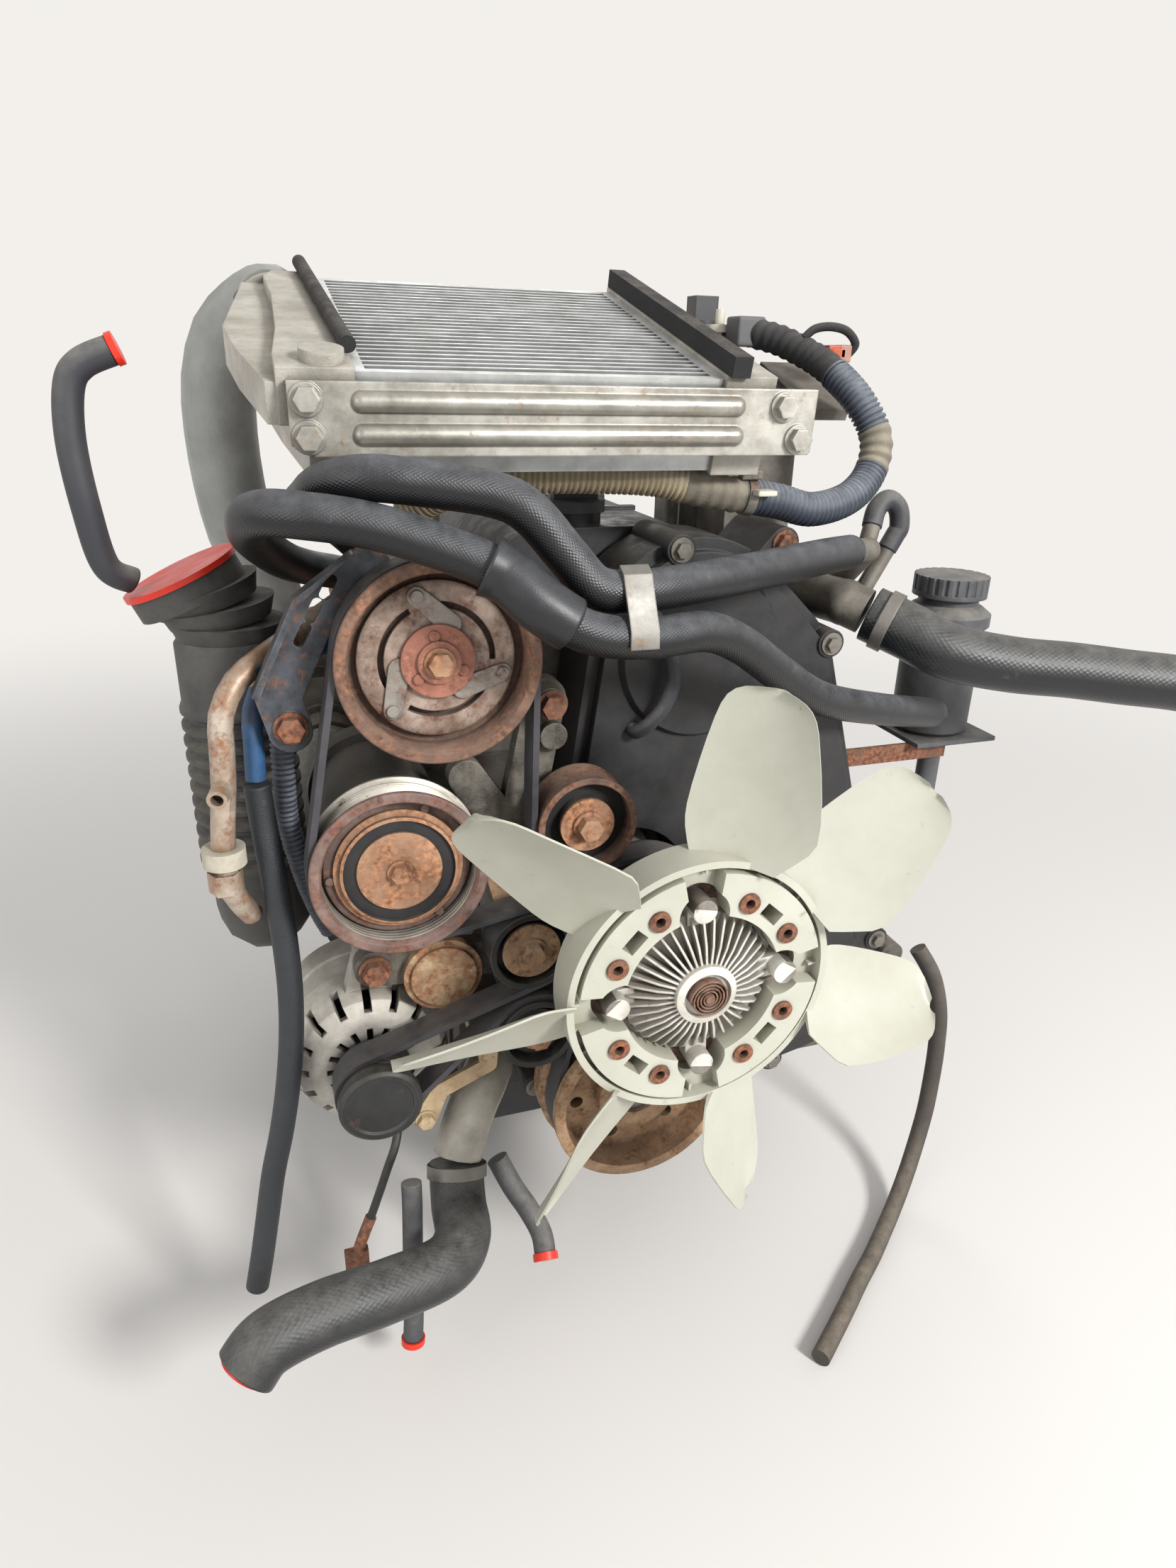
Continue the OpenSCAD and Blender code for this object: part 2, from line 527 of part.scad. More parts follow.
module fan() color([0.88, 0.87, 0.78]) {
    difference() {
        translate([pump_at[0], 0, pump_at[1]]) union() {
            plate(ring_y1 - 7, ring_y1) circle(r = ring_r, $fn = 96);
            plate(ring_y0, drum_y1) difference() {
                circle(r = ring_r, $fn = 96);
                circle(r = ring_r - 5, $fn = 96);
            }
            // four pads, each round two bushes and a window
            plate(pad_y0, ring_y1) for (t = pad_angles) rotate(t + fan_turn) difference() {
                pad_sector(88);
                pad_sector(55);
            }
            for (i = [0:27]) rotate([0, 360 * i / 28, 0]) translate([ring_r - 11, ring_y0 + 6, -1])
                cube([8, 12, 2]);
        }
        translate([pump_at[0], 0, pump_at[1]]) plate(pad_y0 - 1, ring_y1 + 1) {
            fan_opening();
            for (t = pad_angles) rotate(t + fan_turn) translate([bush_r - 5, -8]) square([10, 16]);
        }
        at_bushes() along(0, 0, pad_y0 - 1, ring_y1 + 1, 7.5);
    }
    translate([pump_at[0], blade_y, pump_at[1]]) for (a = blade_angles)
        rotate([0, 90 - a, 0]) translate([0, 0, 1.5]) blade();
}

module pad_sector(r) intersection() {
    circle(r = r, $fn = 96);
    polygon([[0, 0], [r * 1.2, -r * 0.86], [r * 1.2, r * 0.86]]);
}

module at_bushes() for (s = [-1, 1], t = pad_angles) let (a = t + fan_turn + s * 17.5)
    translate([pump_at[0] + bush_r * cos(a), 0, pump_at[1] + bush_r * sin(a)]) children();

module fan_bushes() color([0.45, 0.25, 0.17]) at_bushes() difference() {
    along(0, 0, pad_y0 - 2, ring_y1, 7.4);
    along(0, 0, pad_y0 - 3, ring_y1 + 1, 3.5);
}

// ---------- drive belt and idlers ----------

// Belt path clockwise from the crankshaft; idlers press on the belt's back
function belt_circles(g) = [
    [crank_at[0], crank_at[1], crank_r + g],
    [lower_idler_at[0], lower_idler_at[1], g - lower_idler_r - belt_t],
    [alternator_at[0], alternator_at[1], alternator_r + g],
    [tensioner_at[0], tensioner_at[1], g - tensioner_r - belt_t],
    [lower_at[0], lower_at[1], lower_r + g], [upper_at[0], upper_at[1], upper_r + g],
    [upper_idler_at[0], upper_idler_at[1], g - upper_idler_r - belt_t],
    [pump_at[0], pump_at[1], pump_r + g]];

module drive_belt() color([0.05, 0.05, 0.055]) plate(belt_y0, belt_y1) difference() {
    polygon(wrap(belt_circles(belt_t - belt_gap)));
    polygon(wrap(belt_circles(belt_gap)));
}

// A smooth idler: rolled rim, pressed web and bearing hub
module idler(at, r, bore) turned(at, pulley_y1) polygon([[bore, 2], [20, 2], [20, 12], [r - 5, 12],
    [r - 5, 2], [r + 0.5, 2], [r + 0.5, 4], [r, 5], [r, 29], [r + 0.5, 30], [r + 0.5, 32], [r - 4, 32],
    [r - 4, 20], [20, 20], [20, 26], [bore, 26]]);

idler_bore = 8.05;

module upper_idler() color([0.36, 0.2, 0.13]) idler(upper_idler_at, upper_idler_r, idler_bore);
module lower_idler() color([0.12, 0.12, 0.12]) idler(lower_idler_at, lower_idler_r, idler_bore);
module tensioner_pulley() color([0.12, 0.12, 0.12]) idler(tensioner_at, tensioner_r, idler_bore);

// Stub, washer and bolt head on which an idler turns
module idler_stub(at, y, washer_r) {
    along(at[0], at[1], pulley_y1 - 27, y, 8);
    along(at[0], at[1], pulley_y1 - 30, pulley_y1 - 27, washer_r);
    front_bolt(at[0], pulley_y1 - 30, at[1], 11, 10);
}

module tensioner_arm() color([0.42, 0.4, 0.37]) {
    difference() {
        plate(pulley_y1 + 1, pulley_y1 + 9) link(tensioner_pivot, 14, tensioner_at, 13);
        along(tensioner_pivot[0], tensioner_pivot[1], pulley_y1, pulley_y1 + 10, 6.05);
    }
    idler_stub(tensioner_at, pulley_y1 + 2, 22);
}

bracket_y0 = -324;
bracket_y1 = -306;

module accessory_bracket() color([0.46, 0.45, 0.42]) {
    difference() {
        union() {
            plate(bracket_y0, bracket_y1 - 5) {
                link([-94, 440], 16, upper_idler_at, 17);
                link([-94, 440], 16, [-72, 552], 15);
                link([-94, 440], 18, [-94, 330], 18);
                link([-94, 330], 16, lower_idler_at, 15);
                link([-94, 345], 14, [-203, 351], 15);
                // arm that rises between the two compressors
                link([-100, 450], 15, [-130, 498], 13);
            }
            block_of(-104, -84, bracket_y0, front_y, 322, 450);
            along(-72, 552, -338, bracket_y0, 12);
            along(-68, 526, -332, bracket_y0, 10);
            along(lower_idler_at[0], lower_idler_at[1], pulley_y1 + 1, bracket_y0, 13);
            along(upper_idler_at[0], upper_idler_at[1], pulley_y1 + 1, bracket_y0, 15);
        }
        // lightening pocket
        plate(bracket_y0 - 1, bracket_y0 + 6) link([-94, 420], 8, [-94, 350], 8);
    }
    idler_stub(upper_idler_at, pulley_y1 + 2, 20);
    idler_stub(lower_idler_at, pulley_y1 + 2, 14);
    along(tensioner_pivot[0], tensioner_pivot[1], pulley_y1 - 3, bracket_y0, 6);
    front_bolt(tensioner_pivot[0], pulley_y1 - 1, tensioner_pivot[1], 10, 5);
    front_bolt(-72, -338, 552, 11, 9);
    front_bolt(-203, bracket_y0, 351, 12, 10);
    // round spring housing of the tensioner with its riveted cover
    along(-153, 342, bracket_y0 - 8, bracket_y0, 30);
    along(-153, 342, bracket_y0 - 11, bracket_y0 - 8, 25);
    // strut from the alternator's lower lug to the block
    plate(bracket_y0 - 9, bracket_y0 - 5) {
        link([-172, 210], 10, [-160, 234], 7);
        link([-160, 234], 7, [-120, 251], 7);
        link([-120, 251], 7, [-120, 264], 8);
    }
    along(-172, 210, bracket_y0 - 5, bracket_y1 - 5, 5);
    front_bolt(-172, bracket_y0 - 9, 210, 8.5, 6);
    along(-120, 264, bracket_y0 - 5, front_y, 7);
}

// ---------- alternator and the two compressors ----------

module alternator() color([0.5, 0.49, 0.45]) difference() {
    union() {
        turned(alternator_at, body_y + 112) polygon([[0, 0], [40, 0], [54, 6], [61, 18], [61, 42], [59, 43],
            [59, 68], [61, 69], [61, 92], [55, 105], [42, 112], [0, 112]]);
        plate(bracket_y1 - 5, body_y + 32) {
            link(alternator_at, 30, [-203, 351], 14);
            link(alternator_at, 30, [-172, 214], 12);
        }
        along(-203, 351, bracket_y1 - 5, body_y + 40, 13);
    }
    turned(alternator_at, body_y + 106)
        polygon([[0, 0], [46, 0], [54, 14], [54, 86], [48, 96], [36, 100], [0, 100]]);
    along(alternator_at[0], alternator_at[1], body_y - 1, body_y + 20, 10.05);
    // cooling slots: a ring in the front face and one round the shoulder
    translate([alternator_at[0], body_y, alternator_at[1]]) for (i = [0:15]) rotate([0, 22.5 * i, 0]) {
        translate([18, -1, -2.4]) cube([16, 12, 4.8]);
        translate([46, 3, -3]) cube([20, 20, 6]);
    }
}

module alternator_pulley() color([0.1, 0.1, 0.1]) {
    turned(alternator_at, pulley_y1) polygon([[0, 0], [29, 0], [29, 3], [alternator_r, 5],
        each ribs(alternator_r, 6, 28, 6, 1.8), [alternator_r, 28], [29, 30], [29, 33], [30.5, 34],
        [30.5, 42], [28, 44], [24, 44], [23, 42.5], [0, 42.5]]);
    along(alternator_at[0], alternator_at[1], pulley_y1 - 1, body_y + 60, 10);
    turned(alternator_at, body_y + 90) polygon([[0, 0], [40, 0], [40, 60], [0, 60]]);
}

// A compressor's barrel with its front flange, nose and bolted end
module compressor(at, r, y1) {
    turned(at, y1) polygon([[0, 0], [r - 10, 0], [r - 4, 6], [r - 4, 26], [r, 28], [r, 38], [r - 5, 40],
        [r - 5, y1 - body_y - 16], [r, y1 - body_y - 14], [r, y1 - body_y - 2], [r - 3, y1 - body_y],
        [0, y1 - body_y]]);
    along(at[0], at[1], body_y - 19, body_y, 19.95);
    along(at[0], at[1], body_y - 33, body_y, 8);
    for (i = [0:5]) let (a = 60 * i + 15)
        front_bolt(at[0] + (r - 9) * cos(a), body_y, at[1] + (r - 9) * sin(a), 5, 3);
}

module lower_compressor() color([0.3, 0.3, 0.3]) {
    compressor(lower_at, 50, -180);
    block_of(-150, -105, -290, -200, 440, 462);
    block_of(-165, -105, -290, -200, 404, 420);
}

module upper_compressor() color([0.25, 0.25, 0.26]) {
    compressor(upper_at, 48, -200);
    block_of(-150, -104, -300, -225, 584, 599);
    plate(body_y, body_y + 12) link(upper_at, 20, [-196, 648], 11);
}

// The upper clutch has a deep open rim, the lower one a shallow stepped face
module clutch_pulley(at, r, rim) turned(at, pulley_y1) polygon([[20, 0], [r - 14, 0], [r - 12, 2], [r + 3, 2],
    [r + 3, 4], [r, 5.5], each ribs(r, 6, 28, 6), [r, 28.5], [r + rim, 30], [r + rim, 33], [r + rim - 1, 34],
    [r - 3, 34], [r - 5, 30], [r - 5, 13], [20, 13]]);

module upper_clutch_pulley() color([0.38, 0.26, 0.2]) clutch_pulley(upper_at, upper_r, 4);
module lower_clutch_pulley() color([0.42, 0.25, 0.2]) clutch_pulley(lower_at, lower_r, 3.5);

plate_y = pulley_y1 - 14;

module upper_clutch_plate() color([0.36, 0.3, 0.26]) {
    difference() {
        union() {
            turned(upper_at, plate_y) polygon([[8.05, 0], [51, 0], [51, 5], [49, 6], [8.05, 6]]);
            turned(upper_at, plate_y - 6) polygon([[8.05, 0], [24, 0], [24, 4], [14, 5], [14, 7.5],
                [8.05, 7.5]]);
        }
        plate(plate_y - 7, plate_y + 1) translate(upper_at) for (i = [0:2]) rotate(120 * i + 20)
            difference() {
                pad_slot(38);
                circle(r = 34);
            }
    }
    // three leaf springs riveted to the plate and to the hub
    translate([upper_at[0], plate_y - 6, upper_at[1]]) rotate([90, 0, 0])
        for (i = [0:2]) rotate(120 * i - 22) {
            linear_extrude(2) link([22, -12], 7, [43, 6], 6);
            translate([43, 6, 2]) cylinder(h = 2, r = 4);
            translate([17, 0, 4]) cylinder(h = 2, r = 3.5);
        }
    front_bolt(upper_at[0], plate_y - 13.5, upper_at[1], 10, 7);
}

module pad_slot(r) intersection() {
    circle(r = r);
    polygon([[0, 0], [r * 1.3, -r * 0.55], [r * 1.3, r * 0.9], [0, r * 0.9]]);
}

module lower_clutch_plate() color([0.45, 0.26, 0.18]) {
    turned(lower_at, plate_y) polygon([[8.05, 0], [50, 0], [50, 5], [44, 6], [44, 9], [40, 10], [40, 13],
        [38, 14], [38, 11], [29, 11], [29, 13], [27, 14], [8.05, 14]]);
    for (i = [0:2]) along(lower_at[0] + 46.5 * cos(120 * i + 65), lower_at[1] + 46.5 * sin(120 * i + 65),
        plate_y - 8, plate_y - 4, 3);
    front_bolt(lower_at[0], plate_y - 14, lower_at[1], 9, 6);
}

// Slotted strap that sets the upper compressor, bent forward along its outer edge
module slotted_arm() color([0.3, 0.27, 0.27]) difference() {
    union() {
        plate(body_y - 4, body_y) {
            link([-190, 650], 14, [-226, 622], 14);
            link([-226, 622], 14, [-252, 570], 14);
            link([-252, 570], 14, [-246, 546], 14);
        }
        plate(body_y - 16, body_y) polygon([[-203, 658], [-200, 661], [-238, 634], [-268, 574], [-264, 572],
            [-236, 630]]);
        along(-247, 552, body_y, -300, 11);
        front_bolt(-246, body_y - 4, 549, 11, 8);
    }
    for (p = [[-213, 643], [-223, 629], [-231, 614]])
        plate(body_y - 5, body_y + 1) link(p, 3.5, [p[0] - 5, p[1] - 9], 3.5);
}

// ---------- intercooler ----------

corner = [-192, -335, 763];
tank_lip = 30;
module tilted() translate(corner) rotate([core_tilt, 0, 0]) children();

module intercooler_core() color([0.6, 0.61, 0.6]) tilted() difference() {
    translate([0, 0, -core_t]) cube([core_w, core_len, core_t]);
    pitch = (core_len - 10) / core_rows;
    for (i = [0:core_rows - 1]) translate([7, 6 + pitch * i, -core_t - 1])
        cube([core_w - 14, pitch - 2.6, core_t + 2]);
}

module intercooler_tanks() color([0.5, 0.49, 0.46]) {
    tilted() {
        translate([0, 0, -core_t - 2]) linear_extrude(core_t - 28)
            polygon([[0, -4], [-28, -4], [-40, 60], [-52, 150], [-56, 210], [-52, 242], [0, 242]]);
        translate([0, 0, -tank_lip]) linear_extrude(tank_lip + 3)
            polygon([[0, -4], [-44, -4], [-44, 20], [-38, 80], [-35, 165], [-37, 222], [-30, 242], [0, 242]]);
        // flange of the charge elbow, a step below the tank's top
        translate([0, 0, -tank_lip]) linear_extrude(tank_lip - 6)
            polygon([[0, -2], [-50, -2], [-63, 63], [-69, 115], [-64, 152], [-56, 210], [-52, 242],
                [0, 242]]);
        translate([core_w, -4, -core_t - 2]) cube([36, core_len + 8, core_t + 5]);
        translate([-17, 10, 3]) cylinder(h = 7, r = 13);
        translate([core_w + 36, 215, -34]) rotate([0, 90, 0]) cylinder(h = 3, r = 29);
        // cast ears for the front channel
        for (x = [-36, core_w + 30]) translate([x, -9, -42]) cube([26, 14, 32]);
        translate([-30, 242, -28]) rotate([-90, 0, 0]) cylinder(h = 9, r = 28);
    }
}

module intercooler_bracket() color([0.52, 0.52, 0.5]) {
    // front channel with a top flange and two pressed ribs
    plate(-347, -345) polygon([[-231, 723], [-223, 720], [-218, 717], [103, 717], [105, 719], [107, 758],
        [-231, 758]]);
    block_of(-231, 107, -345, -338, 756, 758);
    for (z = [729, 747]) difference() {
        union() {
            rod([-190, -345.5, z], [48, -345.5, z], 6.5);
            for (x = [-190, 48]) translate([x, -345.5, z]) sphere(r = 6.5);
        }
        block_of(-200, 60, -346, -330, z - 10, z + 10);
    }
    // legs behind, from the head up to the tanks
    block_of(-110, -104, -112, -88, 584, 757);
    block_of(-110, -90, -112, -88, 757, 760);
    block_of(104, 110, -104, -82, 584, 748);
    block_of(50, 110, -104, -82, 748, 752);
    block_of(56, 72, -104, -90, 752, 757);
    for (p = [[-221, 748], [-221, 727.5], [82, 747], [94, 727]]) front_bolt(p[0], -347, p[1], 9.5, 8);
}

module seal_strips() color([0.06, 0.06, 0.06]) tilted() {
    rod([-9, 250, 8], [0, 26, 8], 5);
    translate([core_w + 1, -8, 3]) cube([13, 252, 13]);
}

// ---------- turbocharger, manifolds and ducts ----------

turbo_at = [-205, 420];

module turbocharger() color([0.34, 0.3, 0.27]) {
    along(turbo_at[0], turbo_at[1], -52, -18, 34);
    translate([turbo_at[0], 10, turbo_at[1]]) rotate([90, 0, 0])
        rotate_extrude() translate([36, 0]) circle(r = 22);
    along(turbo_at[0], turbo_at[1], -20, 45, 40);
    along(turbo_at[0], turbo_at[1], 44, 86, 26);
    along(turbo_at[0], turbo_at[1], 85, 150, 48);
    translate([turbo_at[0], 115, turbo_at[1]]) rotate([90, 0, 0])
        rotate_extrude() translate([40, 0]) circle(r = 24);
    along(turbo_at[0], turbo_at[1], 149, 172, 34);
    translate([-243, 10, turbo_at[1]]) cylinder(h = 112, r = 25);
    translate([-180, 115, turbo_at[1] + 20]) cylinder(h = 62, r = 24);
}

module exhaust_manifold() color([0.33, 0.2, 0.14]) {
    for (i = [0:3]) {
        block_of(-108, -100, -190 + 108 * i, -134 + 108 * i, deck_z + 30, deck_z + 80);
        rod([-106, -162 + 108 * i, deck_z + 55], [-150, -162 + 108 * i, deck_z + 52], 20, 22);
    }
    along(-152, deck_z + 52, -176, 176, 26);
    translate([-180, 115, deck_z + 22]) cylinder(h = 18, r = 32);
}

duct_at = [-279, -225];

// Corrugated lower half, plain band and corrugated neck
module bellows() rotate_extrude($fn = 64) polygon([[0, 0], each [for (i = [0:10])
    each [[35, 12 * i], [35, 12 * i + 3], [40, 12 * i + 6], [40, 12 * i + 9]]], [38, 134], [38, 176],
    [35, 180], [0, 180]]);

module leaning(t) translate([-t * 0.35, 0, t * 0.1]) rotate([0, -t, 0]) children();

module air_duct() color([0.06, 0.06, 0.065]) {
    translate([duct_at[0], duct_at[1], 406]) bellows();
    // neck leaning over to the left, with its open mouth
    for (i = [0:2]) translate([duct_at[0], duct_at[1], 586]) leaning(i * 8) translate([0, 0, 12 * i - 2])
        cylinder(h = 13, r1 = 35, r2 = 40);
    translate([duct_at[0], duct_at[1], 586]) leaning(24) translate([0, 0, 28]) cylinder(h = 16, r = 39);
    sweep(curve(inlet_duct_route), 33, 12);
}

module charge_pipe() color([0.4, 0.4, 0.4]) sweep(curve(charge_route), 30, 12);

module intake_manifold() color([0.44, 0.43, 0.41]) {
    along(152, 560, -190, 205, 40);
    for (i = [0:3]) block_of(100, 130, -190 + 108 * i, -134 + 108 * i, deck_z + 30, deck_z + 80);
    sweep(curve(boost_route), 25, 12);
    // exhaust gas valve and its cooler beside the charge elbow
    translate([150, -55, 580]) cylinder(h = 168, r = 20);
    translate([150, -55, 748]) cylinder(h = 30, r = 30);
    translate([150, -55, 778]) cylinder(h = 30, r = 20);
    block_of(140, 162, -68, -48, 808, 828);
    // vacuum capsule with its nipple on the charge hose
    translate([140, -120, 760]) cylinder(h = 37, r = 9);
    translate([140, -120, 797]) cylinder(h = 6, r = 13);
    translate([140, -120, 803]) cylinder(h = 12, r = 4);
    // sloping cover on its casting
    translate([128, 0, 0]) rotate([90, 0, 90]) linear_extrude(62)
        polygon([[-180, 575], [-125, 575], [-125, 773], [-180, 751]]);
    translate([0, -215, 741]) rotate([22, 0, 0]) {
        translate([0, 0, -4]) linear_extrude(4)
            polygon([[178, 0], [215, 0], [237, 41], [216, 91], [176, 91]]);
        translate([178, -1, -9]) cube([37, 3, 9]);
    }
}

// ---------- pumps, filter and starter ----------

module injection_pump() color([0.42, 0.41, 0.39]) {
    along(182, 262, -238, -150, 52);
    along(182, 262, -150, -96, 44);
    along(182, 262, -96, -70, 30);
    block_of(150, 214, -200, -110, 300, 334);
    for (i = [0:3]) rod([182 + 20 * cos(90 * i), -71, 262 + 20 * sin(90 * i)],
        [182 + 20 * cos(90 * i), -52, 262 + 20 * sin(90 * i)], 6);
    block_of(128, 140, -185, -115, 240, 280);
    // cast bracket under the pump with its bolts
    block_of(212, 300, -240, -222, 150, 230);
    block_of(180, 310, -250, -222, 128, 152);
    front_bolt(300, -250, 140, 9, 8);
    front_bolt(262, -250, 140, 9, 8);
    along(309, 232, -262, -240, 13);
    rod([300, -240, 215], [309, -240, 240], 10);
}

module oil_filter() color([0.1, 0.1, 0.11]) {
    translate([182, 69, 120]) cylinder(h = 118, r = 42);
    translate([182, 69, 116]) cylinder(h = 5, r1 = 34, r2 = 40);
    block_of(125, 215, 46, 92, 238, 268);
}

module starter_motor() color([0.16, 0.16, 0.17]) {
    along(starter_at[0], starter_at[1], 60, 190, 38);
    along(starter_at[0], starter_at[1], 190, rear_y - 20, 42);
    along(starter_at[0], starter_at[1], 50, 60, 30);
    along(-221, 200, 95, 195, 20);
}

// ---------- cooling water ----------

module water_outlet() color([0.42, 0.41, 0.39]) {
    block_of(104, 180, -232, -205, 560, 598);
    rod([182, -215, 596], [189, -284, 599], 18);
    translate([189, -284, 599]) sphere(r = 18.6);
    rod([189, -284, 599], [201, -296, 593.5], 18);
    rod([207, -279, 639], [178, -299.2, 642], 9.5);
    rod([207, -279, 639], [196, -246, 600], 9.5);
    translate([207, -279, 639]) sphere(r = 10);
    // stubs for the bypass hose
    rod([205, -276, 629], [217, -266, 655], 7);
    rod([197, -248, 603], [219, -262, 603], 7);
    translate([219, -262, 603]) sphere(r = 7.3);
    rod([219, -262, 603], [237, -262, 636], 7);
}

module water_inlet() color([0.5, 0.48, 0.44]) sweep(curve(inlet_route), 20, 12);

module mouth(p, r, depth) {
    v = unit(p[len(p) - 1] - p[len(p) - 2]);
    rod(p[len(p) - 1] - depth * v, p[len(p) - 1] + 5 * v, r);
}

module radiator_hose_upper() color([0.09, 0.09, 0.095]) difference() {
    sweep(curve(radiator_upper_route), radiator_d / 2, 12);
    mouth(curve(radiator_upper_route), radiator_d / 2 - 4.5, 30);
}

module radiator_hose_lower() color([0.09, 0.09, 0.095]) difference() {
    sweep(curve(radiator_lower_route), radiator_d / 2, 12);
    mouth(curve(radiator_lower_route), radiator_d / 2 - 3.5, 26);
}

module heater_hoses() color([0.1, 0.1, 0.105]) {
    sweep(curve(heater_long_route), heater_d / 2);
    rod([-100.6, -165, 571], [-122, -165, 576], 9);
    sweep(curve(heater_short_route), heater_d / 2);
    rod([-100.6, -130, 571], [-122, -130, 576], 9);
}

module small_hoses() color([0.1, 0.1, 0.1]) {
    sweep(curve(slim_route), 9);
    sweep(curve(short_route), 9);
    sweep(vent_route, 5.5, 8);
    sweep(bypass_route, 8);
}

// A band round the hose at point i of the route p
module clamp_at(p, i, r, w) {
    v = tangent(p, i);
    difference() {
        rod(p[i] - w / 2 * v, p[i] + w / 2 * v, r + 1.6);
        rod(p[i] - w * v, p[i] + w * v, r);
    }
}

module hose_clamps() color([0.4, 0.38, 0.35]) {
    // clip bent round both heater hoses
    translate([-54, -0.4, 0.1]) rotate([90, 0, 90]) linear_extrude(18) polygon([[-436, 616], [-435.5, 626],
        [-422.6, 650], [-419.6, 655.5], [-413, 659.5], [-414, 661.6], [-421.2, 657.3], [-424.5, 650.8],
        [-437.3, 626.5], [-438, 616]]);
    clamp_at(curve(radiator_lower_route), 1, radiator_d / 2 + 0.6, 10);
    clamp_at(curve(radiator_upper_route), 1, radiator_d / 2 + 0.6, 10);
}

module red_plugs() color([0.85, 0.1, 0.06]) {
    end_plug(curve(radiator_lower_route), radiator_d / 2, 17, 22);
    end_plug(curve(slim_route), 9, 0, 4);
    end_plug(drain_route, 8.5, 0, 5);
    end_plug(curve(short_route), 9.5, 0, 6);
    translate([duct_at[0], duct_at[1], 586]) leaning(24) translate([0, 0, 44]) cylinder(h = 4, r = 41);
}

// A pressed cap on the end of a hose; with a cup radius it is a cup pushed into the mouth
module end_plug(p, r, cup, depth) {
    e = p[len(p) - 1];
    v = unit(e - p[len(p) - 2]);
    if (cup > 0) difference() {
        rod(e - depth * v, e + 2 * v, cup + 1);
        rod(e - (depth - 2) * v, e + 3 * v, cup);
    }
    else rod(e, e + depth * v, r + 1);
}

module refrigerant_pipes() {
    color([0.6, 0.5, 0.44]) sweep(curve(bare_route), 8);
    color([0.16, 0.25, 0.38]) sweep(curve(blue_route), 7);
    // service port, ring nut and hexagon on the bare pipe
    color([0.6, 0.6, 0.6]) difference() {
        rod([-291, -336, 515], [-295, -355, 513], 6.5);
        rod([-293, -346, 514], [-295.4, -357, 512.8], 4);
    }
    color([0.75, 0.74, 0.7]) translate([-296, -335, 459]) cylinder(h = 12, r = 14);
    color([0.6, 0.5, 0.44]) translate([-297, -333, 438]) cylinder(h = 15, r = 11.5, $fn = 6);
}

module wrapped_hose() color([0.08, 0.08, 0.085]) sweep(wrapped_route, wrapped_d / 2);
module side_hose() color([0.08, 0.08, 0.085]) sweep(side_route, side_d / 2);
module drain_hose() color([0.09, 0.09, 0.095]) sweep(drain_route, 8);

module wiring_harness() color([0.28, 0.22, 0.17]) {
    sweep(curve(harness_route), harness_d / 2);
    sweep(curve(conduit_route), 8);
    // sensor's lead and its connector
    sweep(sensor_wire, 3.6, 8);
    block_of(200, 222, -200, -184, 776, 789);
}

// ---------- reservoir ----------

reservoir_at = [328, -235];

module reservoir() color([0.07, 0.07, 0.075]) {
    translate([reservoir_at[0], reservoir_at[1], 464]) rotate_extrude() polygon([[0, 0], [30, 0], [34, 4],
        [34, 96], [38, 100], [38, 110], [30, 116], [26, 118], [26, 124], [0, 124]]);
    block_of(289, 373, -275, -195, 460, 464);
    translate([326, -247, 404]) cylinder(h = 57, r = 10);
}

module reservoir_cap() color([0.05, 0.05, 0.052]) translate([reservoir_at[0], reservoir_at[1], 588.5])
    difference() {
        cylinder(h = 18, r = 32);
        for (i = [0:23]) rotate(15 * i) translate([33, 0, 4]) cylinder(h = 16, r = 2.4, $fn = 16);
    }

module oil_filler_cap() color([0.06, 0.06, 0.062]) translate([filler_at[0], filler_at[1], filler_z + 0.3]) {
    cylinder(h = 9, r = 24);
    translate([0, 0, -12]) cylinder(h = 12, r = 16.95);
    translate([-18, -5, 9]) cube([36, 10, 14]);
}

engine_block();
oil_sump();
cylinder_head();
head_cover();
timing_cover();
crankshaft();
camshaft();
crank_pulley();
flywheel();
rear_plate();
water_pump();
pump_pulley();
fan_clutch();
clutch_flange();
thermal_coil();
fan();
fan_bushes();
drive_belt();
alternator();
alternator_pulley();
lower_compressor();
lower_clutch_pulley();
lower_clutch_plate();
upper_compressor();
upper_clutch_pulley();
upper_clutch_plate();
accessory_bracket();
slotted_arm();
upper_idler();
lower_idler();
tensioner_arm();
tensioner_pulley();
intercooler_core();
intercooler_tanks();
intercooler_bracket();
seal_strips();
charge_pipe();
turbocharger();
exhaust_manifold();
air_duct();
intake_manifold();
injection_pump();
oil_filter();
starter_motor();
oil_filler_cap();
water_outlet();
water_inlet();
radiator_hose_upper();
radiator_hose_lower();
heater_hoses();
small_hoses();
hose_clamps();
red_plugs();
refrigerant_pipes();
wrapped_hose();
side_hose();
drain_hose();
wiring_harness();
reservoir();
reservoir_cap();
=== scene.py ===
"""A four-cylinder turbodiesel engine, used and dusty, with its fan, belt drive, intercooler and hoses."""

import json
from math import cos, pi, radians, sin, sqrt

import bmesh
import bpy
from mathutils import Matrix, Vector

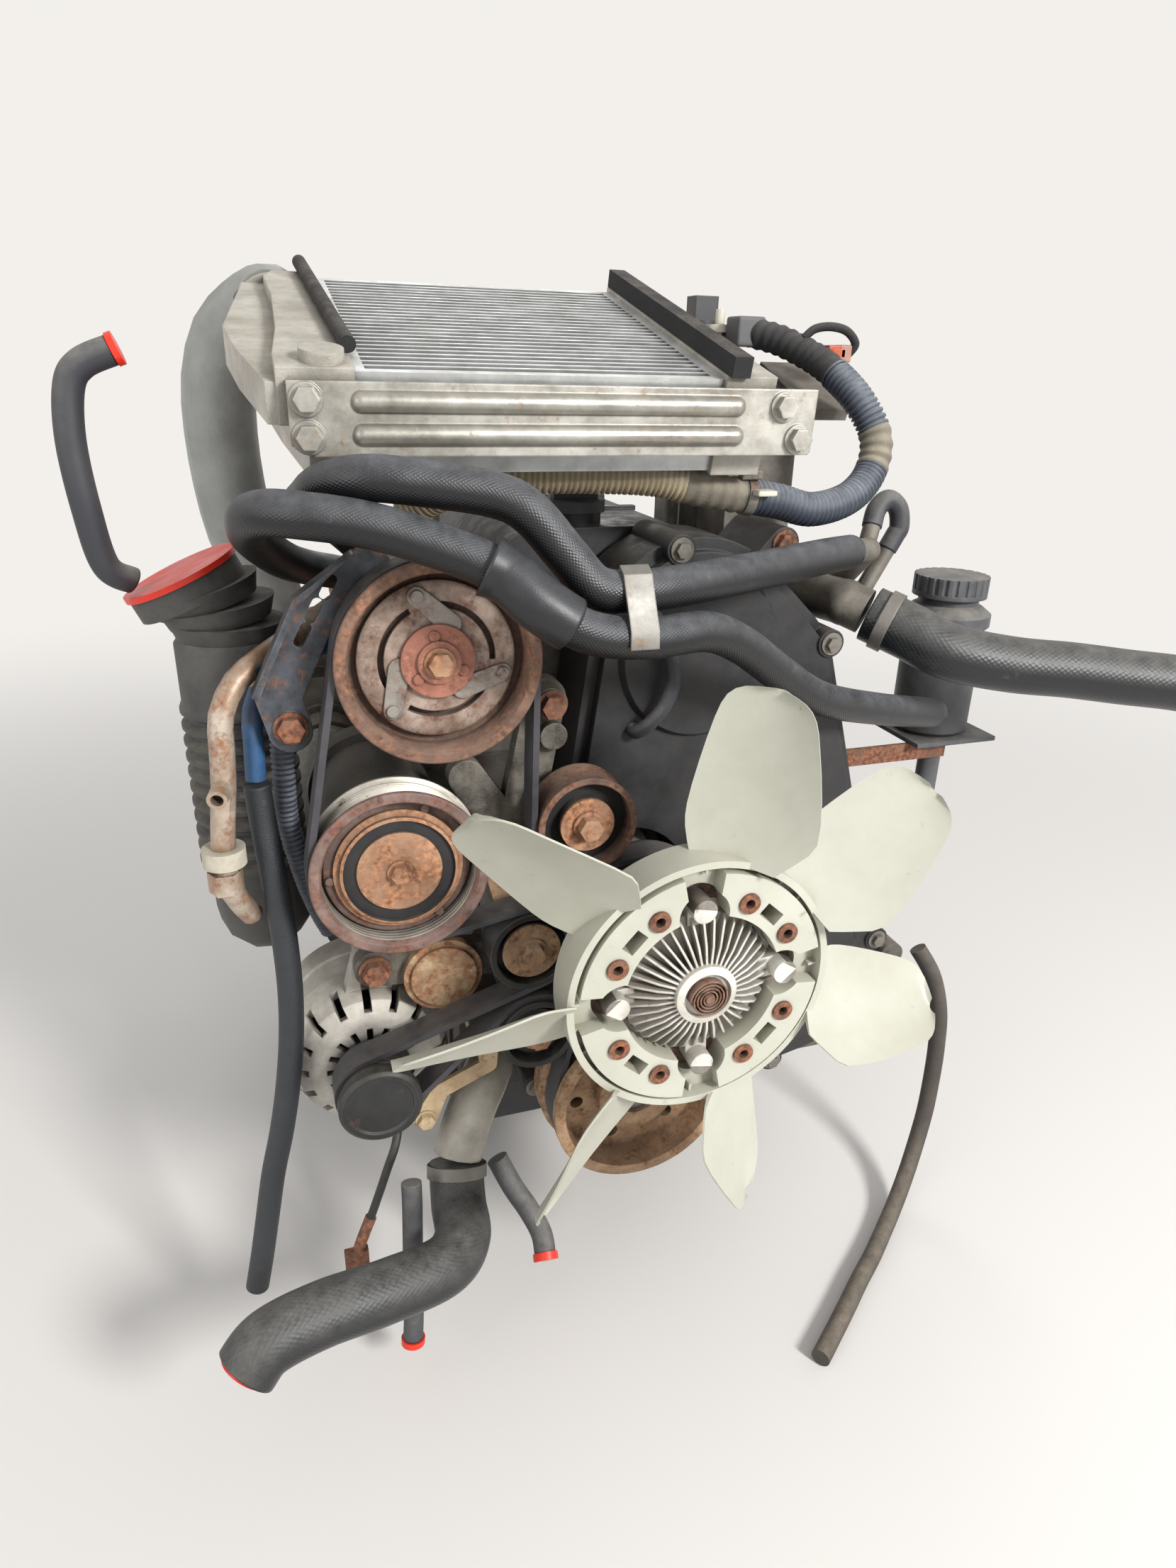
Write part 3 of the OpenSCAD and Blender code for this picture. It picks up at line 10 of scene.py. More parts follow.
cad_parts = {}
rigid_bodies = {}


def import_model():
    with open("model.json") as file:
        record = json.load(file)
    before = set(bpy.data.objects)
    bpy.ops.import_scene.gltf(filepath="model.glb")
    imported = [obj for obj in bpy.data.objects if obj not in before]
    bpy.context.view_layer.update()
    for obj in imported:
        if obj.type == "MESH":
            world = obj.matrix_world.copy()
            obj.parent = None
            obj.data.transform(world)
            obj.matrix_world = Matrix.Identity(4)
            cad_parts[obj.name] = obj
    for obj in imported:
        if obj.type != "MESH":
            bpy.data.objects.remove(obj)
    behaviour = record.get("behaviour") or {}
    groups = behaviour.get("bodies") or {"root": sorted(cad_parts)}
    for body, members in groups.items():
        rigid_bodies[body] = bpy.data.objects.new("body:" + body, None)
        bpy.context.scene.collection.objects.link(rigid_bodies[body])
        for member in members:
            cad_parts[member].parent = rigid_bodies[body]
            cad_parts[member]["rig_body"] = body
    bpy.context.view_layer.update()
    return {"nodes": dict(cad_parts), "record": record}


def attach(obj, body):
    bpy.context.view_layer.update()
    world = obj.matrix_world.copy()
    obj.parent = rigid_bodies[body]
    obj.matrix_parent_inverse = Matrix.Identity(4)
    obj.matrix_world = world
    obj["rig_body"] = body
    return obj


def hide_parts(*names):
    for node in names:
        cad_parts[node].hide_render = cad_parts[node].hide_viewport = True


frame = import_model()
mm = 0.001
scene = bpy.context.scene
scene.view_settings.view_transform = "Standard"

# ---------- camera, floor and light ----------
# A short lens in front of the engine's left corner, looking down on it.
# The floor and the backdrop are one pale tone, and soft lamps stand to the right and overhead.


def colour(hexcode):
    """Linear RGBA of an sRGB hex value."""
    channels = [int(hexcode[i : i + 2], 16) / 255 for i in (1, 3, 5)]
    return (*[c / 12.92 if c <= 0.04045 else ((c + 0.055) / 1.055) ** 2.4 for c in channels], 1.0)


def add(tree, kind, inputs=None, **settings):
    """Adds a node of that kind, sets it, and gives its inputs their values or links."""
    made = tree.nodes.new(kind)
    for key, value in settings.items():
        setattr(made, key, value)
    for key, value in (inputs or {}).items():
        if isinstance(value, bpy.types.NodeSocket):
            tree.links.new(value, made.inputs[key])
        else:
            made.inputs[key].default_value = value
    return made


camera = bpy.data.objects.new("camera", bpy.data.cameras.new("camera"))
scene.collection.objects.link(camera)
scene.camera = camera
camera.data.lens = 22.8
camera.data.clip_start = 0.02
camera.matrix_world = (
    Matrix.Translation((-0.262, -0.965, 0.771))
    @ Matrix.Rotation(radians(-19.2), 4, "Z")
    @ Matrix.Rotation(radians(67), 4, "X")
    @ Matrix.Rotation(radians(1.5), 4, "Z")
)

# The camera and reflections see the pale backdrop, and the engine is lit by a slightly cooler sky.
world = bpy.data.worlds.new("studio")
scene.world = world
world.use_nodes = True
sky = world.node_tree
sky.nodes.clear()
path = add(sky, "ShaderNodeLightPath")
rays = {0: path.outputs["Is Camera Ray"], 1: path.outputs["Is Glossy Ray"]}
seen = add(sky, "ShaderNodeMath", rays, operation="MAXIMUM")
plain = add(sky, "ShaderNodeBackground", {"Color": colour("#F3F0EC"), "Strength": 1.0})
ambient = add(sky, "ShaderNodeBackground", {"Color": colour("#EDEFF2"), "Strength": 0.74})
both = add(sky, "ShaderNodeMixShader", {0: seen.outputs[0], 1: ambient.outputs[0], 2: plain.outputs[0]})
add(sky, "ShaderNodeOutputWorld", {"Surface": both.outputs[0]})

# Soft round lamps, all turned to the engine's middle.
middle = Vector((0, 0, 0.4))
for name, place, size, power in (
    ("key", (1.0, -2.4, 1.75), 0.6, 78),
    ("fill", (-2.2, -1.6, 1.3), 1.6, 16),
    ("back", (0.6, 2.2, 1.9), 1.4, 14),
):
    lamp = bpy.data.objects.new(name, bpy.data.lights.new(name, "AREA"))
    lamp.data.shape = "DISK"
    lamp.data.size = size
    lamp.data.energy = power
    lamp.location = place
    lamp.rotation_euler = (middle - Vector(place)).to_track_quat("-Z", "Y").to_euler()
    scene.collection.objects.link(lamp)

# The floor's paint fades out between these distances from the engine.
floor_radius, fade_from, fade_to = 6, 0.8, 2.6
floor_mesh = bpy.data.meshes.new("floor")
shape = bmesh.new()
bmesh.ops.create_circle(shape, cap_ends=True, segments=96, radius=floor_radius)
shape.to_mesh(floor_mesh)
shape.free()
floor = bpy.data.objects.new("floor", floor_mesh)
scene.collection.objects.link(floor)
ground = bpy.data.materials.new("pale floor fading into the backdrop")
ground.use_nodes = True
tree = ground.node_tree
tree.nodes.clear()
place = add(tree, "ShaderNodeTexCoord")
reach = add(tree, "ShaderNodeVectorMath", {0: place.outputs["Object"]}, operation="LENGTH")
limits = {0: reach.outputs["Value"], 1: fade_from, 2: fade_to}
fade = add(tree, "ShaderNodeMapRange", limits, interpolation_type="SMOOTHSTEP")
paint = add(tree, "ShaderNodeBsdfDiffuse", {"Color": colour("#DCD8D3")})
clear = add(tree, "ShaderNodeBsdfTransparent")
mixed = add(tree, "ShaderNodeMixShader", {0: fade.outputs[0], 1: paint.outputs[0], 2: clear.outputs[0]})
add(tree, "ShaderNodeOutputMaterial", {"Surface": mixed.outputs[0]})
floor_mesh.materials.append(ground)

# ---------- cords: the hanging hoses ----------
# Rubber hoses, one wound with tape and one braided, cut off when the engine was taken out. One hangs
# at the left from the blue pipe, one falls from the right side to the floor, and one drains the inlet.


def smooth_route(points, steps):
    """Points along a smooth curve through a route given in millimetres, in metres."""
    p = [Vector(q) * mm for q in points]
    made = []
    for i in range(len(p) - 1):
        a, b, c, d = p[max(i - 1, 0)], p[i], p[i + 1], p[min(i + 2, len(p) - 1)]
        square, cube = 2 * a - 5 * b + 4 * c - d, 3 * b - a - 3 * c + d
        for k in range(steps):
            t = k / steps
            made.append(0.5 * (2 * b + (c - a) * t + square * t**2 + cube * t**3))
    return made + [p[-1]]


def evenly(points, step):
    """The same line with its points step metres apart."""
    made, left = [points[0].copy()], step
    for a, b in zip(points, points[1:]):
        span = (b - a).length
        while left < span:
            made.append(a.lerp(b, left / span))
            left += step
        left -= span
    if (made[-1] - points[-1]).length > step * 0.3:
        made.append(points[-1].copy())
    return made


def tube(name, line, radius, material, sides=28, shut=True):
    """A round tube along the line. radius is a number, or a function of the distance along it. Its map
    "along" holds metres along the line and metres round it."""
    size = radius if callable(radius) else lambda s: radius
    shape = bmesh.new()
    layer = shape.loops.layers.uv.new("along")
    side = Vector((0.3, 0.2, 1))
    rings, lengths, total = [], [], 0.0
    for i, q in enumerate(line):
        way = (line[min(i + 1, len(line) - 1)] - line[max(i - 1, 0)]).normalized()
        side = (side - side.dot(way) * way).normalized()
        up = way.cross(side)
        if i:
            total += (q - line[i - 1]).length
        lengths.append(total)
        r = size(total)
        turns = [2 * pi * k / sides for k in range(sides)]
        rings.append([shape.verts.new(q + r * (cos(a) * side + sin(a) * up)) for a in turns])
    wide = 2 * pi * size(0.0)
    for i in range(len(rings) - 1):
        for k in range(sides):
            n = (k + 1) % sides
            face = shape.faces.new((rings[i][k], rings[i][n], rings[i + 1][n], rings[i + 1][k]))
            for loop, (s, v) in zip(
                face.loops,
                ((lengths[i], k), (lengths[i], k + 1), (lengths[i + 1], k + 1), (lengths[i + 1], k)),
            ):
                loop[layer].uv = (s, wide * v / sides)
            face.smooth = True
    if shut:
        shape.faces.new(list(reversed(rings[0])))
        shape.faces.new(rings[-1])
    mesh = bpy.data.meshes.new(name)
    bmesh.ops.recalc_face_normals(shape, faces=shape.faces)
    shape.to_mesh(mesh)
    shape.free()
    mesh.materials.append(material)
    made = bpy.data.objects.new(name, mesh)
    scene.collection.objects.link(made)
    return made


slot_of = {part["node"]: part["material_slot"] for part in frame["record"]["subparts"]}


def settle(piece, *nodes, body="engine", slot=None):
    """The finished piece rides its body and stands in for those CAD nodes, which it hides."""
    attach(piece, frame["nodes"][nodes[0]]["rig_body"] if nodes else body)
    if nodes:
        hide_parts(*nodes)
    return piece


# The metres in which a wave texture of scale 1 repeats.
wave_period = 0.314


def hose_rubber(name, tone, dusty, dust=0.45, rough=0.5, weave=0.0, wound=0.0):
    """Dusty rubber, plastic or cloth along a tube. weave is the spacing of its crossed cords in
    millimetres, wound the width of a tape's turns. What faces up is paler, from dust and from painted light
    on the tops."""
    made = bpy.data.materials.new(name)
    made.use_nodes = True
    tree = made.node_tree
    shader = tree.nodes["Principled BSDF"]
    place = add(tree, "ShaderNodeTexCoord").outputs["Object"]
    along = add(tree, "ShaderNodeUVMap", uv_map="along").outputs[0]
    normal = add(tree, "ShaderNodeNewGeometry").outputs["Normal"]
    facing = add(tree, "ShaderNodeSeparateXYZ", {0: normal}).outputs[2]
    up = add(tree, "ShaderNodeMapRange", {0: facing, 1: -0.1, 2: 0.95, 3: 0.0, 4: dust}).outputs[0]
    # dust in smears of about 16 mm, thickest on top, where the paler tone is also painted light on the lit
    # tops, and a little rubbed on all round
    blots = {"Vector": place, "Scale": 62.0, "Detail": 8.0, "Roughness": 0.74}
    smears = add(tree, "ShaderNodeTexNoise", blots).outputs[0]
    patchy = add(tree, "ShaderNodeMapRange", {0: smears, 1: 0.34, 2: 0.7, 3: 0.3, 4: 1.05}).outputs[0]
    cover = add(tree, "ShaderNodeMath", {0: up, 1: patchy}, operation="MULTIPLY").outputs[0]
    worn = add(tree, "ShaderNodeMapRange", {0: smears, 1: 0.62, 2: 0.8, 3: 0.0, 4: 0.35}).outputs[0]
    cover = add(tree, "ShaderNodeMath", {0: cover, 1: worn}, operation="ADD", use_clamp=True).outputs[0]
    tones = {0: cover, 6: colour(tone), 7: colour(dusty)}
    skin = add(tree, "ShaderNodeMix", tones, data_type="RGBA").outputs[2]
    tree.links.new(skin, shader.inputs["Base Color"])
    gloss = add(tree, "ShaderNodeMapRange", {0: cover, 1: 0.0, 2: 0.7, 3: rough, 4: 0.85}).outputs[0]
    tree.links.new(gloss, shader.inputs["Roughness"])
    # pores, drawn at about 1 mm so that they show, then the cords or the tape's steps over them
    height = add(tree, "ShaderNodeTexNoise", {"Vector": place, "Scale": 900.0, "Detail": 3.0}).outputs[0]
    reach = 0.00012
    if weave:
        for turn in (0.95, -0.95):
            laid = add(tree, "ShaderNodeMapping", {"Vector": along, "Rotation": (0, 0, turn)}).outputs[0]
            cords = {"Vector": laid, "Scale": wave_period / (weave * mm), "Distortion": 0.4, "Detail": 1.0}
            wave = add(tree, "ShaderNodeTexWave", cords).outputs["Fac"]
            height = add(tree, "ShaderNodeMath", {0: height, 1: wave}, operation="ADD").outputs[0]
        reach = 0.00011
    if wound:
        laid = add(tree, "ShaderNodeMapping", {"Vector": along, "Rotation": (0, 0, 0.16)}).outputs[0]
        turns = {"Vector": laid, "Scale": wave_period / (wound * mm)}
        wave = add(tree, "ShaderNodeTexWave", turns, wave_profile="SAW").outputs["Fac"]
        height = add(tree, "ShaderNodeMath", {0: height, 1: wave}, operation="ADD").outputs[0]
        reach = 0.0005
    bump = add(tree, "ShaderNodeBump", {"Strength": 0.8, "Distance": reach, "Height": height}).outputs[0]
    tree.links.new(bump, shader.inputs["Normal"])
    return made


# Dull black, in slanting steps from the tape wound round it.
wrapped_rubber = hose_rubber("wound rubber hose", "#24272B", "#6E7072", dust=0.35, wound=26)
# Brown with dust held in the braid, so it hardly shines.
braided_rubber = hose_rubber("rubber hose under dusty braid", "#3B3733", "#877B6C", dust=0.9, rough=0.75,
    weave=1.6)
# Grey-black with a low sheen, dusty on top, and painted paler there as lit.
thin_rubber = hose_rubber("thin rubber hose", "#34353A", "#98948C", dust=0.75, rough=0.55)

wrapped_route = [(-271, -315, 505), (-269, -318, 470), (-266, -324, 430), (-264, -328, 390),
    (-264, -331, 350), (-267, -333, 310), (-273, -335, 270), (-281, -335, 230), (-291, -335, 190),
    (-299, -335, 150), (-307, -335, 110), (-314, -335, 78)]
side_route = [(309, -298, 262), (322, -310, 236), (330, -318, 200), (332, -322, 160), (331, -325, 122),
    (327, -329, 86), (317, -336, 53), (300, -349, 28), (277, -367, 13), (251, -388, 9), (224, -410, 9),
    (197, -430, 9), (169, -452, 9), (140, -474, 9), (124, -486, 9)]
drain_route = [(-190, -362, 176), (-191, -368, 158), (-193, -374, 126), (-195, -380, 95), (-197, -386, 64),
    (-199, -390, 42)]

for name, route, thick, length, end, pieces, material in (
    ("wrapped_hose", wrapped_route, 18, 0.434, "bare", [], wrapped_rubber),
    ("side_hose", side_route, 16, 0.48, "bare", [], braided_rubber),
    ("drain_hose", drain_route, 16, 0.138, "plug", [frame["nodes"]["red_plugs"]], thin_rubber),
):
    line = smooth_route(route, 12)
    hose = settle(tube(name.replace("_", "-"), line, thick / 2 * mm, material), name)

# ---------- moulded water hoses ----------
# Two heater hoses run side by side across the front, and two radiator hoses end open at the sides.
# They are pressed moulded rubber over a knitted cord, which shows as a fine diamond pattern.

# Near black with a soft gloss over its fine knit; its top is paler with dust and with painted light.
moulded_rubber = hose_rubber("moulded heater hose", "#101113", "#7B7C80", dust=0.6, rough=0.33, weave=1.7)
# The same gloss over a wider knit, and the same paler top of dust and painted light.
corded_rubber = hose_rubber("corded radiator hose", "#17191C", "#85837D", dust=0.55, rough=0.34, weave=3.0)

heater_long_route = [(-118, -165, 575), (-141, -167, 590), (-165, -173, 622), (-196, -190, 654),
    (-218, -240, 672), (-226, -300, 682), (-223, -335, 692), (-215, -364, 703), (-194, -384, 709),
    (-160, -390, 706), (-123, -395, 700), (-104, -400, 690), (-84, -405, 667), (-66, -410, 648),
    (-40, -410, 645), (-4, -400, 645), (59, -370, 645), (138, -325, 644), (177, -300, 642)]
heater_short_route = [(-118, -130, 575), (-144, -134, 590), (-182, -154, 610), (-220, -196, 626),
    (-240, -256, 644), (-256, -320, 668), (-259, -352, 682), (-250, -375, 690), (-228, -390, 690),
    (-200, -395, 686), (-171, -400, 678), (-127, -411, 661), (-104, -422, 642), (-75, -425, 625),
    (-36, -420, 618), (9, -406, 616), (45, -390, 600), (88, -370, 571), (136, -350, 543), (210, -320, 519),
    (292, -285, 497)]
radiator_upper_route = [(203.5, -299, 592.5), (226, -321, 582), (253, -341, 569), (300, -356, 560),
    (347, -370, 556), (390, -383, 551), (429, -395, 547), (462, -404, 541)]
radiator_lower_route = [(-150, -343, 169), (-152, -351, 156), (-154, -367, 146), (-157, -394, 141),
    (-176, -418, 143), (-221, -435, 152), (-266, -446, 159), (-302, -456, 158), (-318, -463, 146)]
slim_route = [(-336, -232, 628), (-350, -240, 640), (-355, -248, 678), (-357, -250, 719),
    (-353, -250, 750), (-344, -250, 763), (-326, -250, 771)]
short_route = [(-114, -332, 152), (-104, -344, 130), (-93, -356, 112), (-86, -370, 98), (-86, -382, 88)]
vent_route = [(10, -316, 604), (10, -323, 604), (15, -327, 592), (22, -327, 574), (24, -327, 556),
    (18, -327, 540), (8, -324, 526), (1, -317, 518), (1, -310, 518)]
bypass_route = [(217, -266, 655), (223, -261, 668), (233, -260, 675), (243, -261, 668), (246, -262, 654),
    (243, -262, 647), (237, -262, 636)]


def join(name, *pieces):
    """One object out of several meshes."""
    with bpy.context.temp_override(active_object=pieces[0], selected_editable_objects=list(pieces)):
        bpy.ops.object.join()
    pieces[0].name = pieces[0].data.name = name
    return pieces[0]


def hose_bore(name, line, radius, wall, deep, material):
    """The hose with its open end: the skin turns in over the wall and runs back down the bore."""
    end, sides = len(line) - 1, 40
    back = [line[end]]
    while (back[-1] - line[end]).length < deep and end - len(back) > 0:
        back.append(line[end - len(back)])
    outer = tube(name, line, radius, material, sides, shut=False)
    inner = tube(name + ".bore", back, radius - wall, material, sides, shut=False)
    both = join(name, outer, inner)
    shape = bmesh.new()
    shape.from_mesh(both.data)
    rims = [e for e in shape.edges if e.is_boundary]
    tip = [e for e in rims if all((v.co - line[end]).length < radius * 1.01 for v in e.verts)]
    bmesh.ops.bridge_loops(shape, edges=tip)
    rest = [e for e in shape.edges if e.is_boundary]
    bmesh.ops.holes_fill(shape, edges=rest, sides=sides)
    bmesh.ops.recalc_face_normals(shape, faces=shape.faces)
    shape.to_mesh(both.data)
    shape.free()
    return both


radiator_radius = 22 * mm
for node, route, wall, deep in (
    ("radiator_hose_upper", radiator_upper_route, 4.5, 0.03),
    ("radiator_hose_lower", radiator_lower_route, 3.5, 0.026),
):
    line, name = smooth_route(route, 10), node.replace("_", "-")
    settle(hose_bore(name, line, radiator_radius, wall * mm, deep, corded_rubber), node)


def stretch(line, start, end):
    """The part of a line between two distances along it, in millimetres."""
    made, total = [], 0.0
    for a, b in zip(line, line[1:]):
        if start * mm <= total <= end * mm:
            made.append(a.copy())
        total += (b - a).length
    return made


def sleeve(name, line, size, wall, material):
    """A thick tube, open at both ends, pushed over a hose. size gives its radius along the line."""
    sides = 36
    outer = tube(name, line, size, material, sides, shut=False)
    inner = tube(name + ".bore", line, lambda s: size(s) - wall, material, sides, shut=False)
    both = join(name, outer, inner)
    shape = bmesh.new()
    shape.from_mesh(both.data)
    near = size(0) * 1.2
    for tip in (line[0], line[-1]):
        rims = [e for e in shape.edges if e.is_boundary]
        rims = [e for e in rims if all((v.co - tip).length < near for v in e.verts)]
        bmesh.ops.bridge_loops(shape, edges=rims)
    bmesh.ops.recalc_face_normals(shape, faces=shape.faces)
    shape.to_mesh(both.data)
    shape.free()
    return both


# Plain dark grey, without a knit.
smooth_rubber = hose_rubber("smooth rubber sleeve", "#1C1D20", "#5A5B5D", dust=0.45, rough=0.35)
heater_radius, sleeve_radius, sleeve_wall = 13, 16.6, 1.7
sleeve_start, sleeve_end = 462, 522
lip_rise, lip_length = 1.9, 10


def flared(s):
    """Radius of the sleeve: its left end opens out into a lip."""
    return (sleeve_radius + lip_rise * max(0.0, 1 - s / mm / lip_length)) * mm


short_line = smooth_route(heater_short_route, 8)
cover_line = stretch(evenly(short_line, 0.002), sleeve_start, sleeve_end)
heater = join(
    "heater-hoses",
    tube("long", smooth_route(heater_long_route, 8), heater_radius * mm, moulded_rubber),
    tube("short", short_line, heater_radius * mm, moulded_rubber),
    sleeve("split sleeve", cover_line, flared, sleeve_wall * mm, smooth_rubber),
)
settle(heater, "heater_hoses")
small = join(
    "small-hoses",
    tube("slim", smooth_route(slim_route, 10), 9 * mm, thin_rubber),
    tube("stub", smooth_route(short_route, 10), 9 * mm, thin_rubber),
    tube("vent", smooth_route(vent_route, 8), 5.5 * mm, thin_rubber, 20),
    tube("bypass", smooth_route(bypass_route, 8), 8 * mm, thin_rubber, 24),
)
settle(small, "small_hoses")

# ---------- castings and covers ----------
# Sand-cast iron block, cast aluminium head and cases, moulded black covers. Oil has caught dust in
# the corners, which are also painted darker there as shade, dust lies on the ledges, and bare metal
# shows along the edges.


def weathered(name, light, dark, rough=0.6, metal=0.0, grain=0.8, depth=0.12, dust=0.4, rust=0.0,
              grime_and_shade=0.6, edge=0.0, bare="#8C8983", dirt_and_shade="#1D1916", dusty="#857B6C", patch=30.0,
              rusty=("#7A4630", "#3E241A"), ribs=0.0):
    """A used surface of two tones in patches of 1/patch metres, with a grain of that size and depth
    in millimetres, coarser than real grit so that it shows. rust covers it in spots of two browns, grime
    darkens the corners and gaps towards dirt, as oily dust and as painted shade, dust lies on what faces
    up, and edge bares edges. ribs is the spacing of grooves across Y, in millimetres."""
    made = bpy.data.materials.new(name)
    made.use_nodes = True
    tree = made.node_tree
    shader = tree.nodes["Principled BSDF"]
    shader.inputs["Metallic"].default_value = metal
    place = add(tree, "ShaderNodeTexCoord").outputs["Object"]
    normal = add(tree, "ShaderNodeNewGeometry").outputs["Normal"]
    blots = {"Vector": place, "Scale": patch, "Detail": 6.0, "Roughness": 0.66}
    blotch = add(tree, "ShaderNodeTexNoise", blots).outputs[0]
    tone = add(tree, "ShaderNodeMapRange", {0: blotch, 1: 0.34, 2: 0.66}).outputs[0]
    tones = {0: tone, 6: colour(dark), 7: colour(light)}
    skin = add(tree, "ShaderNodeMix", tones, data_type="RGBA").outputs[2]
    rounding = {}
    if edge:
        # where a bevelled normal leaves the face's own, the edge is worn
        bevel = add(tree, "ShaderNodeBevel", {"Radius": 0.0014}, samples=4).outputs[0]
        turn = add(tree, "ShaderNodeVectorMath", {0: bevel, 1: normal}, operation="DOT_PRODUCT")
        bent = {0: turn.outputs["Value"], 1: 0.97, 2: 0.82, 3: 0.0, 4: edge}
        sharp = add(tree, "ShaderNodeMapRange", bent).outputs[0]
        sharp = add(tree, "ShaderNodeMath", {0: sharp, 1: tone}, operation="MULTIPLY").outputs[0]
        skin = add(tree, "ShaderNodeMix", {0: sharp, 6: skin, 7: colour(bare)}, data_type="RGBA").outputs[2]
        rounding = {"Normal": bevel}
    if rust:
        # blooms of about 13 mm, mottled by flakes of 4 mm
        blooms = {"Vector": place, "Scale": 75.0, "Detail": 9.0, "Roughness": 0.72}
        bloom = add(tree, "ShaderNodeTexNoise", blooms).outputs[0]
        reach = {0: bloom, 1: 0.66 - 0.4 * rust, 2: 0.76 - 0.3 * rust}
        spots = add(tree, "ShaderNodeMapRange", reach).outputs[0]
        flake = add(tree, "ShaderNodeTexNoise", {"Vector": place, "Scale": 260.0, "Detail": 5.0}).outputs[0]
        shade = add(tree, "ShaderNodeMapRange", {0: flake, 1: 0.35, 2: 0.65}).outputs[0]
        browns = {0: shade, 6: colour(rusty[1]), 7: colour(rusty[0])}
        brown = add(tree, "ShaderNodeMix", browns, data_type="RGBA").outputs[2]
        skin = add(tree, "ShaderNodeMix", {0: spots, 6: skin, 7: brown}, data_type="RGBA").outputs[2]
        if metal:
            left = add(tree, "ShaderNodeMapRange", {0: spots, 3: metal, 4: 0.0}).outputs[0]
            tree.links.new(left, shader.inputs["Metallic"])
    if grime_and_shade:
        # painted shade: near other surfaces the colour darkens towards dirt, which stands for oily dust
        # there and for shade
        open_air = add(tree, "ShaderNodeAmbientOcclusion", {"Distance": 0.022}, samples=4).outputs["AO"]
        sunk_dirt_and_shade = add(tree, "ShaderNodeMapRange", {0: open_air, 1: 0.75, 2: 0.25, 3: 0.0, 4: grime_and_shade}).outputs[0]
        skin = add(tree, "ShaderNodeMix", {0: sunk_dirt_and_shade, 6: skin, 7: colour(dirt_and_shade)}, data_type="RGBA").outputs[2]
    facing = add(tree, "ShaderNodeSeparateXYZ", {0: normal}).outputs[2]
    up = add(tree, "ShaderNodeMapRange", {0: facing, 1: 0.05, 2: 0.9, 3: 0.12 * dust, 4: dust}).outputs[0]
    drifts = {"Vector": place, "Scale": 48.0, "Detail": 7.0, "Roughness": 0.7}
    drift = add(tree, "ShaderNodeTexNoise", drifts).outputs[0]
    lie = add(tree, "ShaderNodeMapRange", {0: drift, 1: 0.36, 2: 0.64, 3: 0.1, 4: 1.0}).outputs[0]
    film = add(tree, "ShaderNodeMath", {0: up, 1: lie}, operation="MULTIPLY", use_clamp=True).outputs[0]
    skin = add(tree, "ShaderNodeMix", {0: film, 6: skin, 7: colour(dusty)}, data_type="RGBA").outputs[2]
    tree.links.new(skin, shader.inputs["Base Color"])
    sheen = add(tree, "ShaderNodeMapRange", {0: tone, 3: rough - 0.08, 4: rough + 0.1}).outputs[0]
    sheen = add(tree, "ShaderNodeMath", {0: sheen, 1: film}, operation="ADD", use_clamp=True).outputs[0]
    tree.links.new(sheen, shader.inputs["Roughness"])
    grains = {"Vector": place, "Scale": 1 / (grain * mm), "Detail": 4.0, "Roughness": 0.6}
    height = add(tree, "ShaderNodeTexNoise", grains).outputs[0]
    if ribs:
        rows = {"Vector": place, "Scale": wave_period / (ribs * mm)}
        grooves = add(tree, "ShaderNodeTexWave", rows, bands_direction="Y").outputs["Fac"]
        # the grain fades in the grooves, and the ribs stand over it
        faded = {0: height, 1: grooves, 2: 6.0}
        height = add(tree, "ShaderNodeMath", faded, operation="MULTIPLY_ADD").outputs[0]
        raised = {0: grooves, 1: 8.0, 2: height}
        height = add(tree, "ShaderNodeMath", raised, operation="MULTIPLY_ADD").outputs[0]
    relief = {"Strength": 1.0, "Distance": depth * mm, "Height": height, **rounding}
    bump = add(tree, "ShaderNodeBump", relief).outputs[0]
    tree.links.new(bump, shader.inputs["Normal"])
    return made


def within(x0, x1, y0, y1, z0, z1):
    """Whether a point lies in a box, in millimetres."""
    return lambda q: x0 <= q.x <= x1 and y0 <= q.y <= y1 and z0 <= q.z <= z1


def about(at, r0, r1, y0=-900, y1=900):
    """Whether a point lies between two radii about an axis along Y."""
    return lambda q: r0 <= sqrt((q.x - at[0]) ** 2 + (q.z - at[1]) ** 2) <= r1 and y0 <= q.y <= y1


def smooth_cad(node, material, degrees=32, finishes=()):
    """A smooth-shaded copy of the node's own mesh, with its loose triangles merged. finishes are other
    materials for parts of it, each with the test of which faces it covers."""
    mesh = frame["nodes"][node].data.copy()
    mesh.materials.clear()
    for finish in (material, *[extra for extra, _ in finishes]):
        mesh.materials.append(finish)
    shape = bmesh.new()
    shape.from_mesh(mesh)
    bmesh.ops.remove_doubles(shape, verts=shape.verts, dist=2e-6)
    for face in shape.faces:
        face.smooth = True
        face.material_index = 0
        for i, (_, covers) in enumerate(finishes):
            if covers(face.calc_center_median() / mm):
                face.material_index = i + 1
    shape.to_mesh(mesh)
    shape.free()
    if "custom_normal" in mesh.attributes:
        mesh.attributes.remove(mesh.attributes["custom_normal"])
    mesh.set_sharp_from_angle(angle=radians(degrees))
    made = bpy.data.objects.new(node.replace("_", "-"), mesh)
    scene.collection.objects.link(made)
    return settle(made, node)


# Rough and dark brown with old oil, rust in spots.
cast_iron = weathered("sand-cast iron, oily", "#4B4640", "#2A2724", 0.66, grain=1.6, depth=0.5, dust=0.5,
    rust=0.25)
# A low sheen, with grey steel bared along the edges.
black_paint = weathered("black painted sheet steel", "#313236", "#1D1E21", 0.5, grain=1.2, dust=0.5,
    rust=0.1, edge=0.4)
